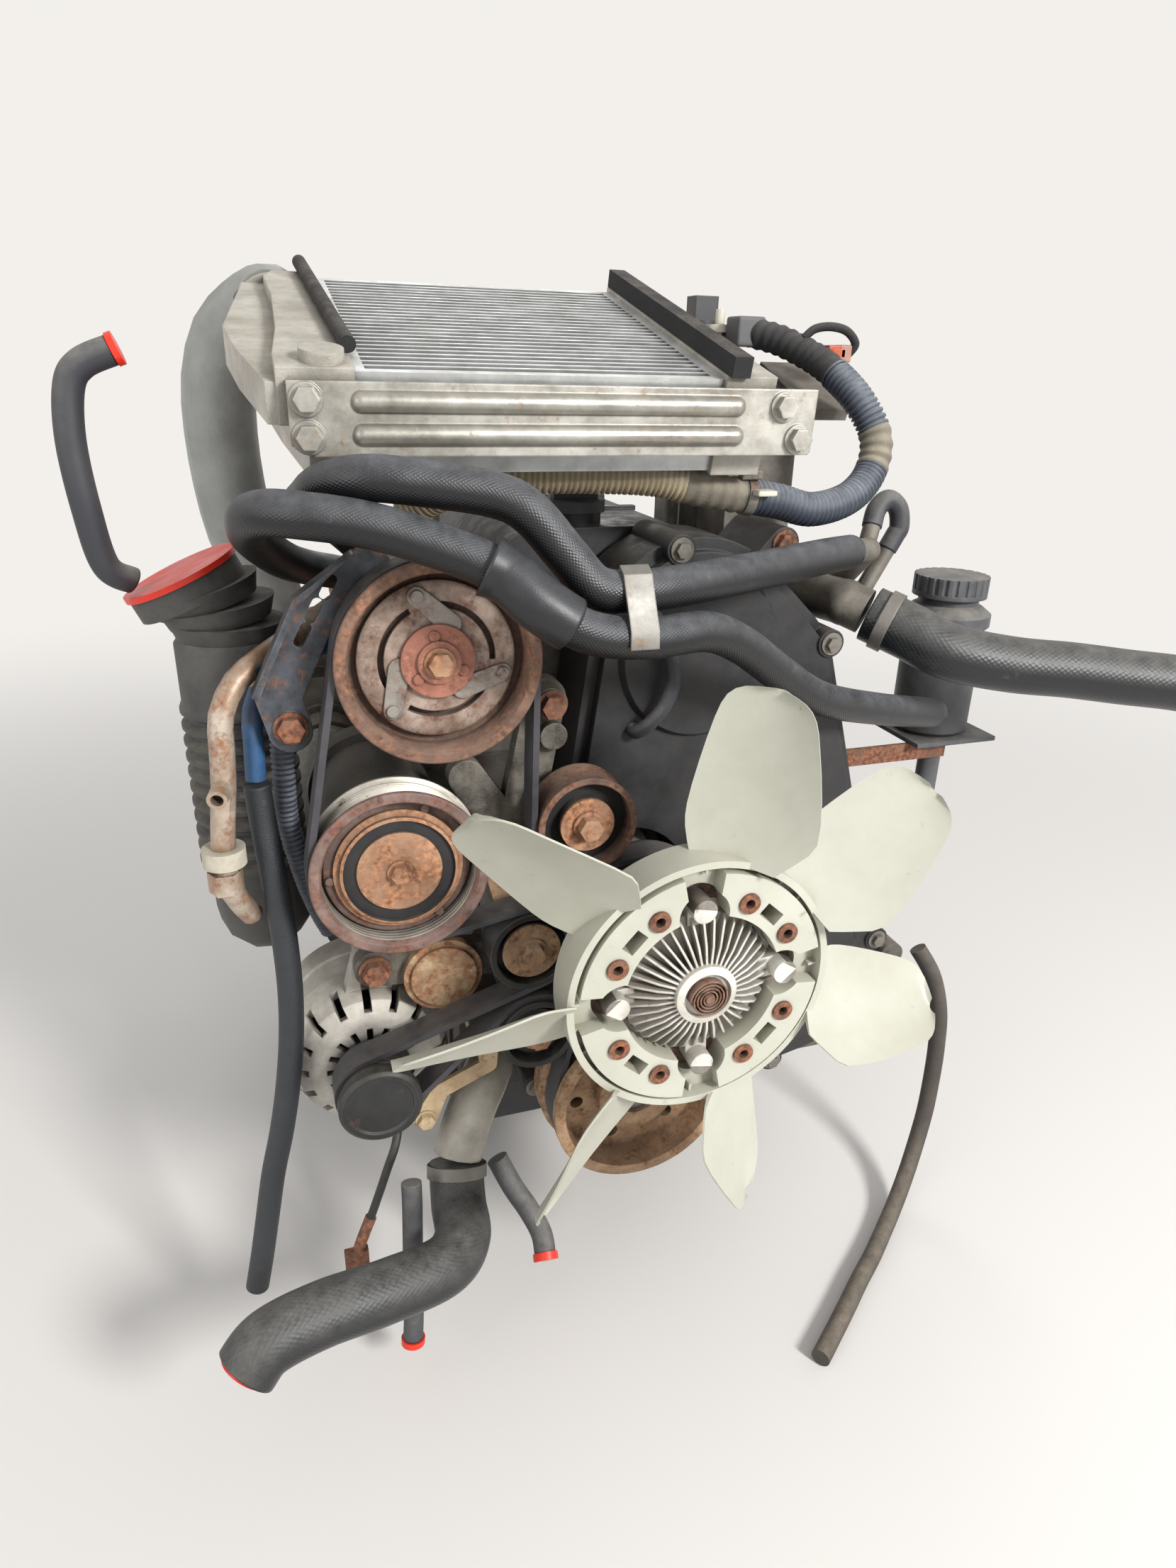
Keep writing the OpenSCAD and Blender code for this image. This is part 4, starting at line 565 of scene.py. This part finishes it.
# Pale and gritty, dark in the corners with oily dust and painted shade, and bright on worn edges.
cast_aluminium = weathered("sand-cast aluminium, dull", "#C8C3B8", "#989388", 0.5, 0.3, 1.2, 0.3, dust=0.35,
    grime_and_shade=0.75, edge=0.5, bare="#CFCCC4", dusty="#A59B8A", dirt_and_shade="#332D27")
# The same metal browned by oil.
dark_aluminium = weathered("die-cast aluminium, oily", "#857F75", "#4E4A44", 0.5, 0.3, 1.2, 0.3, dust=0.45,
    grime_and_shade=0.85, edge=0.5, bare="#A9A59C")
# Fine-grained black, greyer on its edges.
black_plastic = weathered("moulded black nylon, dusty", "#2A2B2F", "#1A1B1D", 0.42, grain=0.7, depth=0.06,
    dust=0.45, edge=0.25, bare="#5A5C60")
# Black gone grey and dull.
faded_nylon_black = weathered("black nylon, faded", "#5A5B5E", "#3B3C40", 0.5, grain=0.7, depth=0.06,
    dust=0.6, edge=0.3, bare="#707276", dusty="#A09A8F")
# Near black with a low sheen and pale edges.
case_paint = weathered("dark moulded timing case", "#2A2A2C", "#1D1D1F", 0.46, grain=0.9, depth=0.1,
    dust=0.35, grime_and_shade=0.5, edge=0.25, bare="#626466")
# Turned smooth, so it shines grey between rust spots.
machined_steel = weathered("machined steel", "#8E8982", "#726D66", 0.4, 0.5, 0.7, 0.08, rust=0.3)
# Matt brown with darker flakes.
rusted_iron = weathered("steel with brown rust", "#87614C", "#523A2E", 0.75, grain=0.9, depth=0.3, dust=0.2,
    rust=0.7, rusty=("#9C6345", "#4F3023"))
# Smooth and pale with a soft shine.
cream_plastic = weathered("cream nylon", "#D9D5C6", "#BFB9A6", 0.42, grain=1.0, depth=0.03, dust=0.3,
    grime_and_shade=0.4)

for node, material in (
    ("engine_block", cast_iron),
    ("oil_sump", black_paint),
    ("cylinder_head", dark_aluminium),
    ("head_cover", black_plastic),
    ("crankshaft", machined_steel),
    ("camshaft", machined_steel),
    ("flywheel", machined_steel),
    ("rear_plate", machined_steel),
    ("water_pump", dark_aluminium),
    ("turbocharger", cast_iron),
    ("injection_pump", dark_aluminium),
    ("water_outlet", dark_aluminium),
    ("water_inlet", cast_aluminium),
    ("oil_filter", black_paint),
    ("starter_motor", black_paint),
    ("oil_filler_cap", faded_nylon_black),
    ("reservoir", faded_nylon_black),
    ("reservoir_cap", faded_nylon_black),
):
    smooth_cad(node, material)
smooth_cad("timing_cover", case_paint, finishes=[
    (rusted_iron, within(230, 331, -263, -257, 443, 461)),
    (rusted_iron, about((114, 652), 0, 10.5, -319, -310.2)),
])
smooth_cad("intake_manifold", dark_aluminium, finishes=[
    (cream_plastic, within(126, 154, -134, -106, 792, 816)),
    (black_plastic, within(119, 181, -86, -24, 777, 829)),
    (black_plastic, about((152, 560), 0, 41, -191, 206)),
])

# ---------- screws of the timing cover ----------
# Eight flanged hexagon screws of zinc-plated steel hold the timing cover on. Each stands on a boss
# at the cover's edge.


def set_of(name, points, build, material, **sizes):
    """What the Geometry Nodes tree makes at the points, in millimetres, as one plain mesh. build gets
    the tree and its named inputs, and returns the geometry to put at each point."""
    tree = bpy.data.node_groups.new(name, "GeometryNodeTree")
    tree.interface.new_socket("Geometry", in_out="INPUT", socket_type="NodeSocketGeometry")
    sockets = {}
    for key in sizes:
        sockets[key] = tree.interface.new_socket(key, in_out="INPUT", socket_type="NodeSocketFloat")
    finish = tree.interface.new_socket("finish", in_out="INPUT", socket_type="NodeSocketMaterial")
    tree.interface.new_socket("Geometry", in_out="OUTPUT", socket_type="NodeSocketGeometry")
    given = add(tree, "NodeGroupInput")
    one = build(tree, given.outputs)
    many = add(tree, "GeometryNodeInstanceOnPoints", {"Points": given.outputs["Geometry"], "Instance": one})
    plain = add(tree, "GeometryNodeRealizeInstances", {"Geometry": many.outputs[0]})
    coat = {"Geometry": plain.outputs[0], "Material": given.outputs["finish"]}
    faced = add(tree, "GeometryNodeSetMaterial", coat)
    add(tree, "NodeGroupOutput", {"Geometry": faced.outputs[0]})
    seeds = bpy.data.meshes.new(name)
    seeds.from_pydata([Vector(q) * mm for q in points], [], [])
    piece = bpy.data.objects.new(name, seeds)
    scene.collection.objects.link(piece)
    made = piece.modifiers.new(name, "NODES")
    made.node_group = tree
    for key, value in sizes.items():
        made[sockets[key].identifier] = float(value)
    made[finish.identifier] = material
    mesh = bpy.data.meshes.new_from_object(piece.evaluated_get(bpy.context.evaluated_depsgraph_get()))
    piece.modifiers.clear()
    piece.data = mesh
    return piece


def hex_head(tree, given):
    """A hexagon on a round flange, its axis along Y, standing out from the point towards the front."""
    both = add(tree, "GeometryNodeJoinGeometry")
    for corners, radius, tall in ((6, given["head"], given["tall"]), (24, given["flange"], given["thin"])):
        sizes = {"Vertices": corners, "Radius": radius, "Depth": tall}
        drum = add(tree, "GeometryNodeMeshCylinder", sizes).outputs["Mesh"]
        half = add(tree, "ShaderNodeMath", {0: tall, 1: 0.5}, operation="MULTIPLY").outputs[0]
        lift = add(tree, "ShaderNodeCombineXYZ", {2: half}).outputs[0]
        stood = add(tree, "GeometryNodeTransform", {"Geometry": drum, "Translation": lift}).outputs[0]
        tree.links.new(stood, both.inputs[0])
    facing = {"Geometry": both.outputs[0], "Rotation": (pi / 2, 0, 0)}
    return add(tree, "GeometryNodeTransform", facing).outputs[0]


# Plating gone dull: a soft grey shine with brown specks.
dull_zinc = weathered("zinc-plated screws, dull", "#8F8A80", "#5E5A53", 0.45, 0.4, 0.8, 0.08, dust=0.3,
    rust=0.3, grime_and_shade=0.5)
boss_face = -311.9
# Each boss lies on a circle of the cover: its centre's x and z, its radius and the angle on it.
cover_bosses = ((0, 215, 76, 190), (0, 215, 76, 250), (52, 573, 80, 165), (52, 573, 80, 105),
    (104, 540, 68, 30), (168, 262, 86, 20), (168, 262, 86, -40), (168, 262, 86, -100))
cover_screws = [(x + r * cos(radians(a)), boss_face, z + r * sin(radians(a))) for x, z, r, a in cover_bosses]
screws = set_of("cover-screws", cover_screws, hex_head, dull_zinc,
    head=0.0058, tall=0.0058, flange=0.0088, thin=0.0016)
settle(screws, slot=slot_of["timing_cover"])

# ---------- wiring harness ----------
# Split corrugated polypropylene tube round the wires, brown with dust over the head cover and blue-black
# where it bends up to the right. Cloth tape binds its joints, a worm clamp holds one, a boot covers its
# end, and a latched connector in two halves takes a sensor's lead.

harness_route = [(-150, -232, 670), (-126, -256, 686), (-96, -278, 698), (-64, -284, 699),
    (-32, -286, 699), (15, -290, 697), (50, -296, 690), (83, -300, 685), (110, -300, 681),
    (142, -296, 674), (180, -284, 680), (206, -270, 697), (214, -260, 722), (204, -246, 748),
    (193, -222, 768), (187, -198, 779), (172, -170, 791), (155, -150, 797)]
conduit_route = [(-252, -296, 530), (-253, -300, 500), (-253, -300, 469), (-246, -300, 427),
    (-238, -298, 396), (-230, -292, 372)]
sensor_wire = [(182, -190, 793), (190, -192, 800), (203, -195, 802), (216, -198, 799), (225, -198, 790),
    (222, -194, 782)]
tape_width = 9


def corrugated(crest, depth=1.6, pitch=4.2):
    """Radius along a corrugated tube: flat crests and short grooves."""
    return lambda s: (crest - (depth if (s / mm % pitch) > pitch * 0.62 else 0.0)) * mm


def bound(radius):
    """Radius along a taped joint: it swells in the middle of each turn of the tape."""
    return lambda s: (radius + 0.5 * sin(2 * pi * s / mm / tape_width)) * mm


def rounded_block(name, low, high, round_by, material):
    """A block between two corners, in millimetres, with rounded edges."""
    shape = bmesh.new()
    bmesh.ops.create_cube(shape, size=1.0)
    for v in shape.verts:
        v.co = Vector([(low[i] + (high[i] - low[i]) * (v.co[i] + 0.5)) * mm for i in range(3)])
    bmesh.ops.bevel(shape, geom=shape.edges, offset=round_by * mm, segments=3, affect="EDGES", profile=0.6)
    mesh = bpy.data.meshes.new(name)
    shape.to_mesh(mesh)
    shape.free()
    mesh.materials.append(material)
    made = bpy.data.objects.new(name, mesh)
    scene.collection.objects.link(made)
    return made


# Matt, and brown where the dust lies thick; both tones are painted pale, as if the conduit were lit where it
# lies in shade.
brown_conduit = hose_rubber("conduit, brown with dust", "#A5967A", "#D9CDB4", dust=1.2, rough=0.75)
# Blue-black with a low sheen, greyed on top by dust and by painted light.
blue_conduit = hose_rubber("conduit, blue-black", "#393E48", "#979BA2", dust=0.85, rough=0.5)
# Matt grey-brown, a step at each turn.
cloth_tape = hose_rubber("cloth tape, dusty", "#6E675A", "#AFA692", dust=1.0, rough=0.85, wound=tape_width)
# The same in black.
black_tape = hose_rubber("black cloth tape", "#232325", "#66635E", dust=0.6, rough=0.8, wound=tape_width)
# Satin orange.
orange_nylon = weathered("orange nylon", "#C9562C", "#A9431F", 0.42, grain=0.8, depth=0.04, dust=0.35,
    grime_and_shade=0.4)
# Duller, and gone pink-brown.
faded_nylon = weathered("faded pink-brown nylon", "#B98A76", "#96695A", 0.5, grain=0.8, depth=0.04,
    dust=0.35, grime_and_shade=0.4)

front_line = evenly(smooth_route(harness_route, 20), 0.0009)
side_line = evenly(smooth_route(conduit_route, 20), 0.0009)
harness = join(
    "wiring-harness",
    tube("over the cover", stretch(front_line, 0, 214), corrugated(12.6), brown_conduit, 24),
    tube("taped joint", stretch(front_line, 211, 258), bound(12.4), cloth_tape, 24),
    tube("past the clamp", stretch(front_line, 256, 398), corrugated(12.6), blue_conduit, 24),
    tube("taped bend", stretch(front_line, 396, 432), bound(12.3), cloth_tape, 24),
    tube("rising", stretch(front_line, 430, 486), corrugated(12.4), blue_conduit, 24),
    tube("top", stretch(front_line, 484, 576), bound(11.5), black_tape, 24),
    tube("side", side_line, corrugated(8, 1.3, 3.8), blue_conduit, 18),
    tube("sensor lead", smooth_route(sensor_wire, 8), 3.4 * mm, black_tape, 12),
    rounded_block("boot at the sensor", (138, -160, 786), (163, -135.5, 809), 3, faded_nylon_black),
    rounded_block("tan tab", (83, -322, 687), (98, -309, 691), 1.4, cream_plastic),
    tube("worm clamp", stretch(front_line, 257, 265), 13.4 * mm, dull_zinc, 36),
    rounded_block("clamp screw", (76, -309, 697), (92, -301, 704), 1.5, dull_zinc),
    rounded_block("plug half", (200.3, -199.6, 776.4), (212, -184.4, 788.6), 1.2, orange_nylon),
    rounded_block("socket half", (211, -200, 776), (221.7, -184, 789), 1.6, faded_nylon),
    rounded_block("latch", (204, -200, 779), (216, -196.5, 786), 0.8, orange_nylon),
)
settle(harness, "wiring_harness")

# ---------- rusty steel: crank pulley, manifold, idlers and clutch faces ----------
# Bare turned and pressed steel and cast iron that have rusted brown, with grey left where parts rub.
# The pulleys and clutch plates sit on their shafts, and the manifold is bolted to the head.

# Matt brown, grey metal showing along the edges.
brown_rust = weathered("turned steel, rusted brown", "#8E6D5A", "#564137", 0.66, grain=0.9, depth=0.3,
    dust=0.3, rust=0.55, rusty=("#9A6C50", "#4B3429"), edge=0.45, bare="#A8968A", dusty="#9B8A7B")
# Thin pinkish rust that leaves the steel a little shine.
pink_rust = weathered("turned steel, pink-brown", "#957B72", "#5E4941", 0.6, 0.1, 0.9, 0.25, dust=0.3,
    rust=0.5, rusty=("#8B5D4C", "#4C332A"), edge=0.4, bare="#A89087", dusty="#A08D82")
# Bright and powdery, without any shine.
orange_rust = weathered("bare steel, bright rust", "#C29B7C", "#8A634A", 0.74, grain=0.7, depth=0.25,
    dust=0.2, rust=0.6, rusty=("#CA9168", "#7C533D"))
# Grey with a slight shine between brown spots.
grey_steel = weathered("pressed steel, grey with rust", "#A59D93", "#6F675F", 0.5, 0.3, 0.9, 0.2, dust=0.25,
    rust=0.4, rusty=("#8B5E48", "#573A2D"), edge=0.5, bare="#B5ADA3")
# Matt red-brown, paler where it is worn.
red_hub = weathered("red-brown primed hub", "#B07561", "#824E3E", 0.6, grain=0.9, depth=0.2, dust=0.15,
    rust=0.5, rusty=("#B87E63", "#724738"), edge=0.4, bare="#C0A696")
# Rubbed bright by the belt, and grooved for its ribs.
bare_ribs = weathered("turned pulley ribs", "#D0CABD", "#A39C90", 0.4, 0.5, 0.7, 0.05, dust=0.15, rust=0.15,
    grime_and_shade=0.4, ribs=3.56)
# Satin black worn to grey on the edges.
black_steel = weathered("black painted steel, worn", "#242527", "#141516", 0.42, grain=0.9, dust=0.3,
    rust=0.12, edge=0.6, bare="#77736D")
# Smooth, dark and dull.
seal_rubber = weathered("moulded seal rubber", "#29282A", "#1A1A1B", 0.55, grain=0.8, depth=0.05, dust=0.3,
    grime_and_shade=0.3)
# Dull tan with brown spots.
tan_strut = weathered("galvanised strut, stained tan", "#D2BC99", "#A98D69", 0.55, 0.2, 1.0, 0.15, dust=0.2,
    rust=0.3, rusty=("#A5764F", "#6B482F"))
# Brown and grey patches where the plate has rubbed.
worn_plate = weathered("friction plate, brown and grey", "#B8A496", "#75604F", 0.6, 0.1, 0.9, 0.25,
    dust=0.3, rust=0.5, rusty=("#8C6453", "#4B352C"), edge=0.4, bare="#ADA39A", patch=45.0)
# A paler, yellower rust than the brown.
tan_rust = weathered("turned steel, tan rust", "#BC9A77", "#785B44", 0.66, grain=0.9, depth=0.3, dust=0.3,
    rust=0.5, rusty=("#A27C56", "#583D29"), edge=0.45, bare="#B5A08A", dusty="#A39281")

for node, material in (
    ("crank_pulley", tan_rust),
    ("exhaust_manifold", rusted_iron),
    ("clutch_flange", brown_rust),
    ("thermal_coil", brown_rust),
    ("fan_bushes", rusted_iron),
    ("lower_idler", black_steel),
    ("tensioner_pulley", black_steel),
    ("pump_pulley", black_steel),
    ("alternator_pulley", black_steel),
    ("tensioner_arm", tan_rust),
):
    smooth_cad(node, material)

upper_at, lower_at, upper_idler_at, lower_idler_at = (-153, 594), (-185, 450), (-52, 469), (-88, 297)
smooth_cad("upper_clutch_pulley", brown_rust, finishes=[(black_steel, about(upper_at, 58, 64, -361, -336))])
smooth_cad("upper_clutch_plate", grey_steel, finishes=[
    (worn_plate, about(upper_at, 24, 54, -354.3, -346)),
    (grey_steel, lambda q: q.y < -354.1),
    (red_hub, about(upper_at, 0, 24.3, -361.6, -354.1)),
    (orange_rust, about(upper_at, 0, 10.6, -370, -361.4)),
])
smooth_cad("lower_clutch_pulley", pink_rust, finishes=[(bare_ribs, about(lower_at, 51, 60, -361.5, -335))])
smooth_cad("lower_clutch_plate", pink_rust, finishes=[
    (seal_rubber, about(lower_at, 28.6, 38.4, -363, -357)),
    (orange_rust, about(lower_at, 0, 29.5)),
    (orange_rust, about(lower_at, 38, 44.2)),
])
smooth_cad("upper_idler", brown_rust, finishes=[(seal_rubber, about(upper_idler_at, 0, 30.8, -364, -350))])

# ---------- the slotted arm of the upper compressor ----------
# A pressed steel strap, slotted to set the compressor and bent forward along its outer edge. Its black
# paint is chipped to blue-grey and brown, with a lighter worn edge.

# Small chips of blue-grey and brown, with bright edges.
chipped_paint = weathered("chipped blue-black paint", "#4C5159", "#24272C", 0.45, grain=1.0, depth=0.12,
    dust=0.25, rust=0.35, rusty=("#8A6149", "#523828"), edge=0.7, bare="#9BA0A5", patch=70.0)
smooth_cad("slotted_arm", chipped_paint, finishes=[(rusted_iron, about((-246, 549), 0, 11.5, -345, -332.2))])

# ---------- fan and viscous clutch ----------
# The fan is moulded in white nylon that has yellowed, thin enough at the tips for light to come
# through. Its clutch is die-cast aluminium with deep radial fins.

# Smooth yellowish white that lets light a little way in.
white_nylon = weathered("aged white nylon", "#C1C0B2", "#AFAE9E", 0.36, grain=2.0, depth=0.03, dust=0.3,
    grime_and_shade=0.45, rust=0.07, rusty=("#A9A18A", "#847A60"), dirt_and_shade="#7D7763", dusty="#B5AF9C", patch=7.0)
nylon_shader = white_nylon.node_tree.nodes["Principled BSDF"]
nylon_shader.inputs["Subsurface Weight"].default_value = 0.15
nylon_shader.inputs["Subsurface Radius"].default_value = (0.004, 0.004, 0.003)
# Bright fins with oil and dust between them, where painted shade darkens the gaps too.
finned_aluminium = weathered("die-cast fins, dusty", "#F0ECE2", "#BAB4A8", 0.5, 0.3, 0.7, 0.15, dust=0.25,
    rust=0.12, grime_and_shade=0.55, edge=0.5, bare="#E0DDD5", dirt_and_shade="#2F2822", dusty="#B3A998")
# Rougher and darker than the fins.
lug_casting = weathered("cast lugs, oily", "#9B958A", "#5C564E", 0.5, 0.3, 1.0, 0.25, dust=0.3, rust=0.2,
    grime_and_shade=0.9, edge=0.4, bare="#B5B0A6")
fan_at = (0, 383)
smooth_cad("fan", white_nylon, 40)
smooth_cad("fan_clutch", finned_aluminium, finishes=[(lug_casting, about(fan_at, 63, 100))])

# ---------- drive belt ----------
# One long ribbed rubber belt driven by the crank pulley, its back polished by the idlers. It is a
# plain band here, without its ribs.

# Dark grey with a low sheen.
belt_rubber = weathered("ribbed belt rubber", "#47464A", "#313034", 0.5, grain=0.5, depth=0.05, dust=0.35,
    grime_and_shade=0.2)
smooth_cad("drive_belt", belt_rubber)

# ---------- alternator, compressors and their bracket ----------
# Die-cast cases bolted to one cast bracket, which also carries the idlers' stubs, the tensioner's
# spring housing and the strut down to the block.

# Dark grey and dusty, paler along the edges.
grey_case = weathered("compressor casting, dark grey", "#4F4C48", "#302E2B", 0.55, grain=1.2, depth=0.25,
    dust=0.5, rust=0.15, edge=0.5)
# Bright where it is clean, dark brown in the corners from oil and from painted shade.
bright_casting = weathered("die-cast case, washed bright", "#D8D3C8", "#A49E95", 0.5, 0.3, 1.2, 0.3,
    dust=0.35, grime_and_shade=0.85, edge=0.5, bare="#DAD7CF", dusty="#B3A998", dirt_and_shade="#2C2722")
# Brown-black oil in patches over grey metal.
oily_casting = weathered("sand-cast aluminium, oily", "#857F74", "#3B3732", 0.5, 0.3, 1.2, 0.4, dust=0.35,
    grime_and_shade=0.95, edge=0.55, bare="#BDB9AF", dusty="#9A8F7E", dirt_and_shade="#231E1A", patch=42.0)
# Tan under brown stains, which cover most of it.
stained_tan = weathered("spring housing, tan with rust", "#C6AC88", "#8A6E52", 0.6, 0.1, 1.0, 0.2, dust=0.2,
    rust=0.65, rusty=("#A5714E", "#6A4630"), grime_and_shade=0.6, edge=0.4, bare="#CDB899", patch=60.0)
smooth_cad("alternator", bright_casting)
smooth_cad("lower_compressor", grey_case)
smooth_cad("upper_compressor", grey_case)
smooth_cad("accessory_bracket", oily_casting, finishes=[
    (orange_rust, about(upper_idler_at, 0, 21, -375, -360.5)),
    (orange_rust, about(lower_idler_at, 0, 15, -375, -360.5)),
    (tan_strut, within(-184, -110, -345, -328.5, 195, 275)),
    (stained_tan, about((-153, 342), 0, 31, -337, -324.5)),
    (rusted_iron, about((-203, 351), 0, 12.5, -340, -324.2)),
    (rusted_iron, about((-72, 552), 0, 11.5, -350, -338.2)),
])

# A black cable hangs under the alternator and ends in a rusty pressed fork.

fork_route = [(-192, -322, 224), (-194, -336, 214), (-199, -347, 202), (-206, -351, 186), (-213, -351, 165),
    (-222, -350, 138), (-229, -350, 120), (-234, -350, 106)]
cable = join(
    "hanging-cable",
    tube("cable", smooth_route(fork_route, 8), 3.4 * mm, black_steel, 16),
    tube("swaged end", smooth_route(fork_route[5:], 8), 4.6 * mm, rusted_iron, 16),
    rounded_block("fork", (-245, -354, 92), (-226, -347, 108), 1.2, rusted_iron),
    rounded_block("fork prong", (-245, -354, 78), (-240, -347, 94), 1.2, rusted_iron),
)
settle(cable, slot=slot_of["exhaust_manifold"])

# ---------- intercooler ----------
# A brazed aluminium core between two cast tanks, carried behind a plated steel channel. Between its
# tubes the core holds strips of thin aluminium folded into a fine zigzag.

# Bright grey tubes, dark between them with dust and painted shade.
bright_fins = weathered("brazed aluminium tubes", "#DCDEDD", "#B4B6B5", 0.36, 0.5, 0.9, 0.1, dust=0.35,
    grime_and_shade=0.8, dusty="#B5AEA2", dirt_and_shade="#45413C")
# Smooth grey metal with a wide soft shine.
plated_steel = weathered("plated steel sheet, dull", "#B2AFA6", "#88847A", 0.36, 0.6, 1.5, 0.05, dust=0.2,
    rust=0.25, rusty=("#9C8165", "#6E563F"), grime_and_shade=0.45, edge=0.5, bare="#DAD8D1")
# The same plating, darker.
dull_clip = weathered("plated clip, dulled", "#87847D", "#686560", 0.42, 0.4, 1.2, 0.05, dust=0.25,
    rust=0.25, rusty=("#8F755C", "#604A36"), grime_and_shade=0.5, edge=0.5, bare="#C2BFB7")
# Rough and black, with no shine.
foam = weathered("foam seal strip", "#2A2A2C", "#18181A", 0.9, grain=1.4, depth=0.5, dust=0.35, grime_and_shade=0.3)
# Even dusty grey.
grey_elbow = weathered("cast elbow, dusty grey", "#A4A5A0", "#8D8E8A", 0.55, 0.1, 1.5, 0.25, dust=0.4,
    grime_and_shade=0.5, dusty="#AFA99B")
for node, material in (
    ("intercooler_core", bright_fins),
    ("intercooler_tanks", cast_aluminium),
    ("intercooler_bracket", plated_steel),
    ("hose_clamps", dull_clip),
    ("seal_strips", foam),
    ("charge_pipe", grey_elbow),
):
    smooth_cad(node, material)

# The core's lower left corner and tilt, its rows of strips over its height, and where the first begins.
core_corner, core_tilt = (-192, -335, 763), radians(15)
core_rows, core_run = 26, 228
strip_x, strip_y, strip_z = 7.5, 6.3, -8


def folded_strip(tree, given):
    """A strip folded to and fro between two tubes: it runs along X and stands through the core's depth."""
    folds = add(tree, "ShaderNodeMath", {0: given["run"], 1: given["fold"]}, operation="DIVIDE").outputs[0]
    step = add(tree, "ShaderNodeCombineXYZ", {0: given["fold"]}).outputs[0]
    line = add(tree, "GeometryNodeMeshLine", {"Count": folds, "Offset": step}).outputs[0]
    index = add(tree, "GeometryNodeInputIndex").outputs[0]
    odd = add(tree, "ShaderNodeMath", {0: index, 1: 2.0}, operation="MODULO").outputs[0]
    side = add(tree, "ShaderNodeMath", {0: odd, 1: given["gap"]}, operation="MULTIPLY").outputs[0]
    shift = add(tree, "ShaderNodeCombineXYZ", {1: side}).outputs[0]
    bent = add(tree, "GeometryNodeSetPosition", {"Geometry": line, "Offset": shift}).outputs[0]
    deep = add(tree, "ShaderNodeCombineXYZ", {2: given["deep"]}).outputs[0]
    sheet = add(tree, "GeometryNodeExtrudeMesh", {"Mesh": bent, "Offset": deep}, mode="EDGES").outputs[0]
    return add(tree, "GeometryNodeTransform", {"Geometry": sheet, "Rotation": (core_tilt, 0, 0)}).outputs[0]


tipped = Matrix.Translation(core_corner) @ Matrix.Rotation(core_tilt, 4, "X")
row_step = core_run / core_rows
gaps = [tipped @ Vector((strip_x, strip_y + row_step * i, strip_z)) for i in range(core_rows)]
# Thin bare metal, grey with dust, and dark in the depth with dirt and painted shade.
folded_foil = weathered("folded aluminium foil, dusty", "#A9A9A4", "#7C7B76", 0.42, 0.4, 1.0, 0.05,
    dust=0.4, grime_and_shade=0.6, dusty="#A19888", dirt_and_shade="#2E2B27")
strips = set_of("core-strips", gaps, folded_strip, folded_foil,
    run=0.221, fold=0.0016, gap=0.0055, deep=-0.045)
settle(strips, slot=slot_of["intercooler_core"])

# ---------- air duct, caps and pipes ----------
# Moulded rubber bellows to the turbocharger, polythene caps pushed into the open ends, and the
# compressor's two pipes: one bare and stained, one painted blue.

# Brown-grey with dust over black.
duct_rubber = weathered("moulded duct rubber", "#4B4A47", "#2F2F31", 0.5, grain=0.8, depth=0.08, dust=0.75,
    grime_and_shade=0.5, dusty="#8D877A")
# Clean, bright and glossy.
red_plastic = weathered("red polythene cap", "#E8351D", "#D62C18", 0.35, grain=1.5, depth=0.02, dust=0.1,
    grime_and_shade=0.2, dirt_and_shade="#7A1A10")
# Pale metal with brown stains.
stained_pipe = weathered("bare aluminium pipe, stained", "#BFB3A4", "#96785F", 0.42, 0.3, 0.8, 0.08,
    dust=0.2, rust=0.42, rusty=("#A0714F", "#734B33"), patch=40.0)
# An even blue with a low sheen.
blue_paint = weathered("blue painted pipe", "#33608F", "#274766", 0.45, grain=1.0, depth=0.05, dust=0.3,
    rust=0.1)
# Matt off-white, its corners darkened by grime and by painted shade.
off_white = weathered("off-white ring nut", "#CFC9B8", "#A59C88", 0.5, grain=1.0, depth=0.08, dust=0.3,
    grime_and_shade=0.6)
smooth_cad("air_duct", duct_rubber, 50)
smooth_cad("red_plugs", red_plastic, 40)
smooth_cad("refrigerant_pipes", stained_pipe, 60, finishes=[
    (off_white, within(-311, -281, -350, -320, 458, 472)),
    (blue_paint, lambda q: q.x > -277.5 and q.z < 573 and q.y > -323 or q.x > -262 and q.z < 590),
])
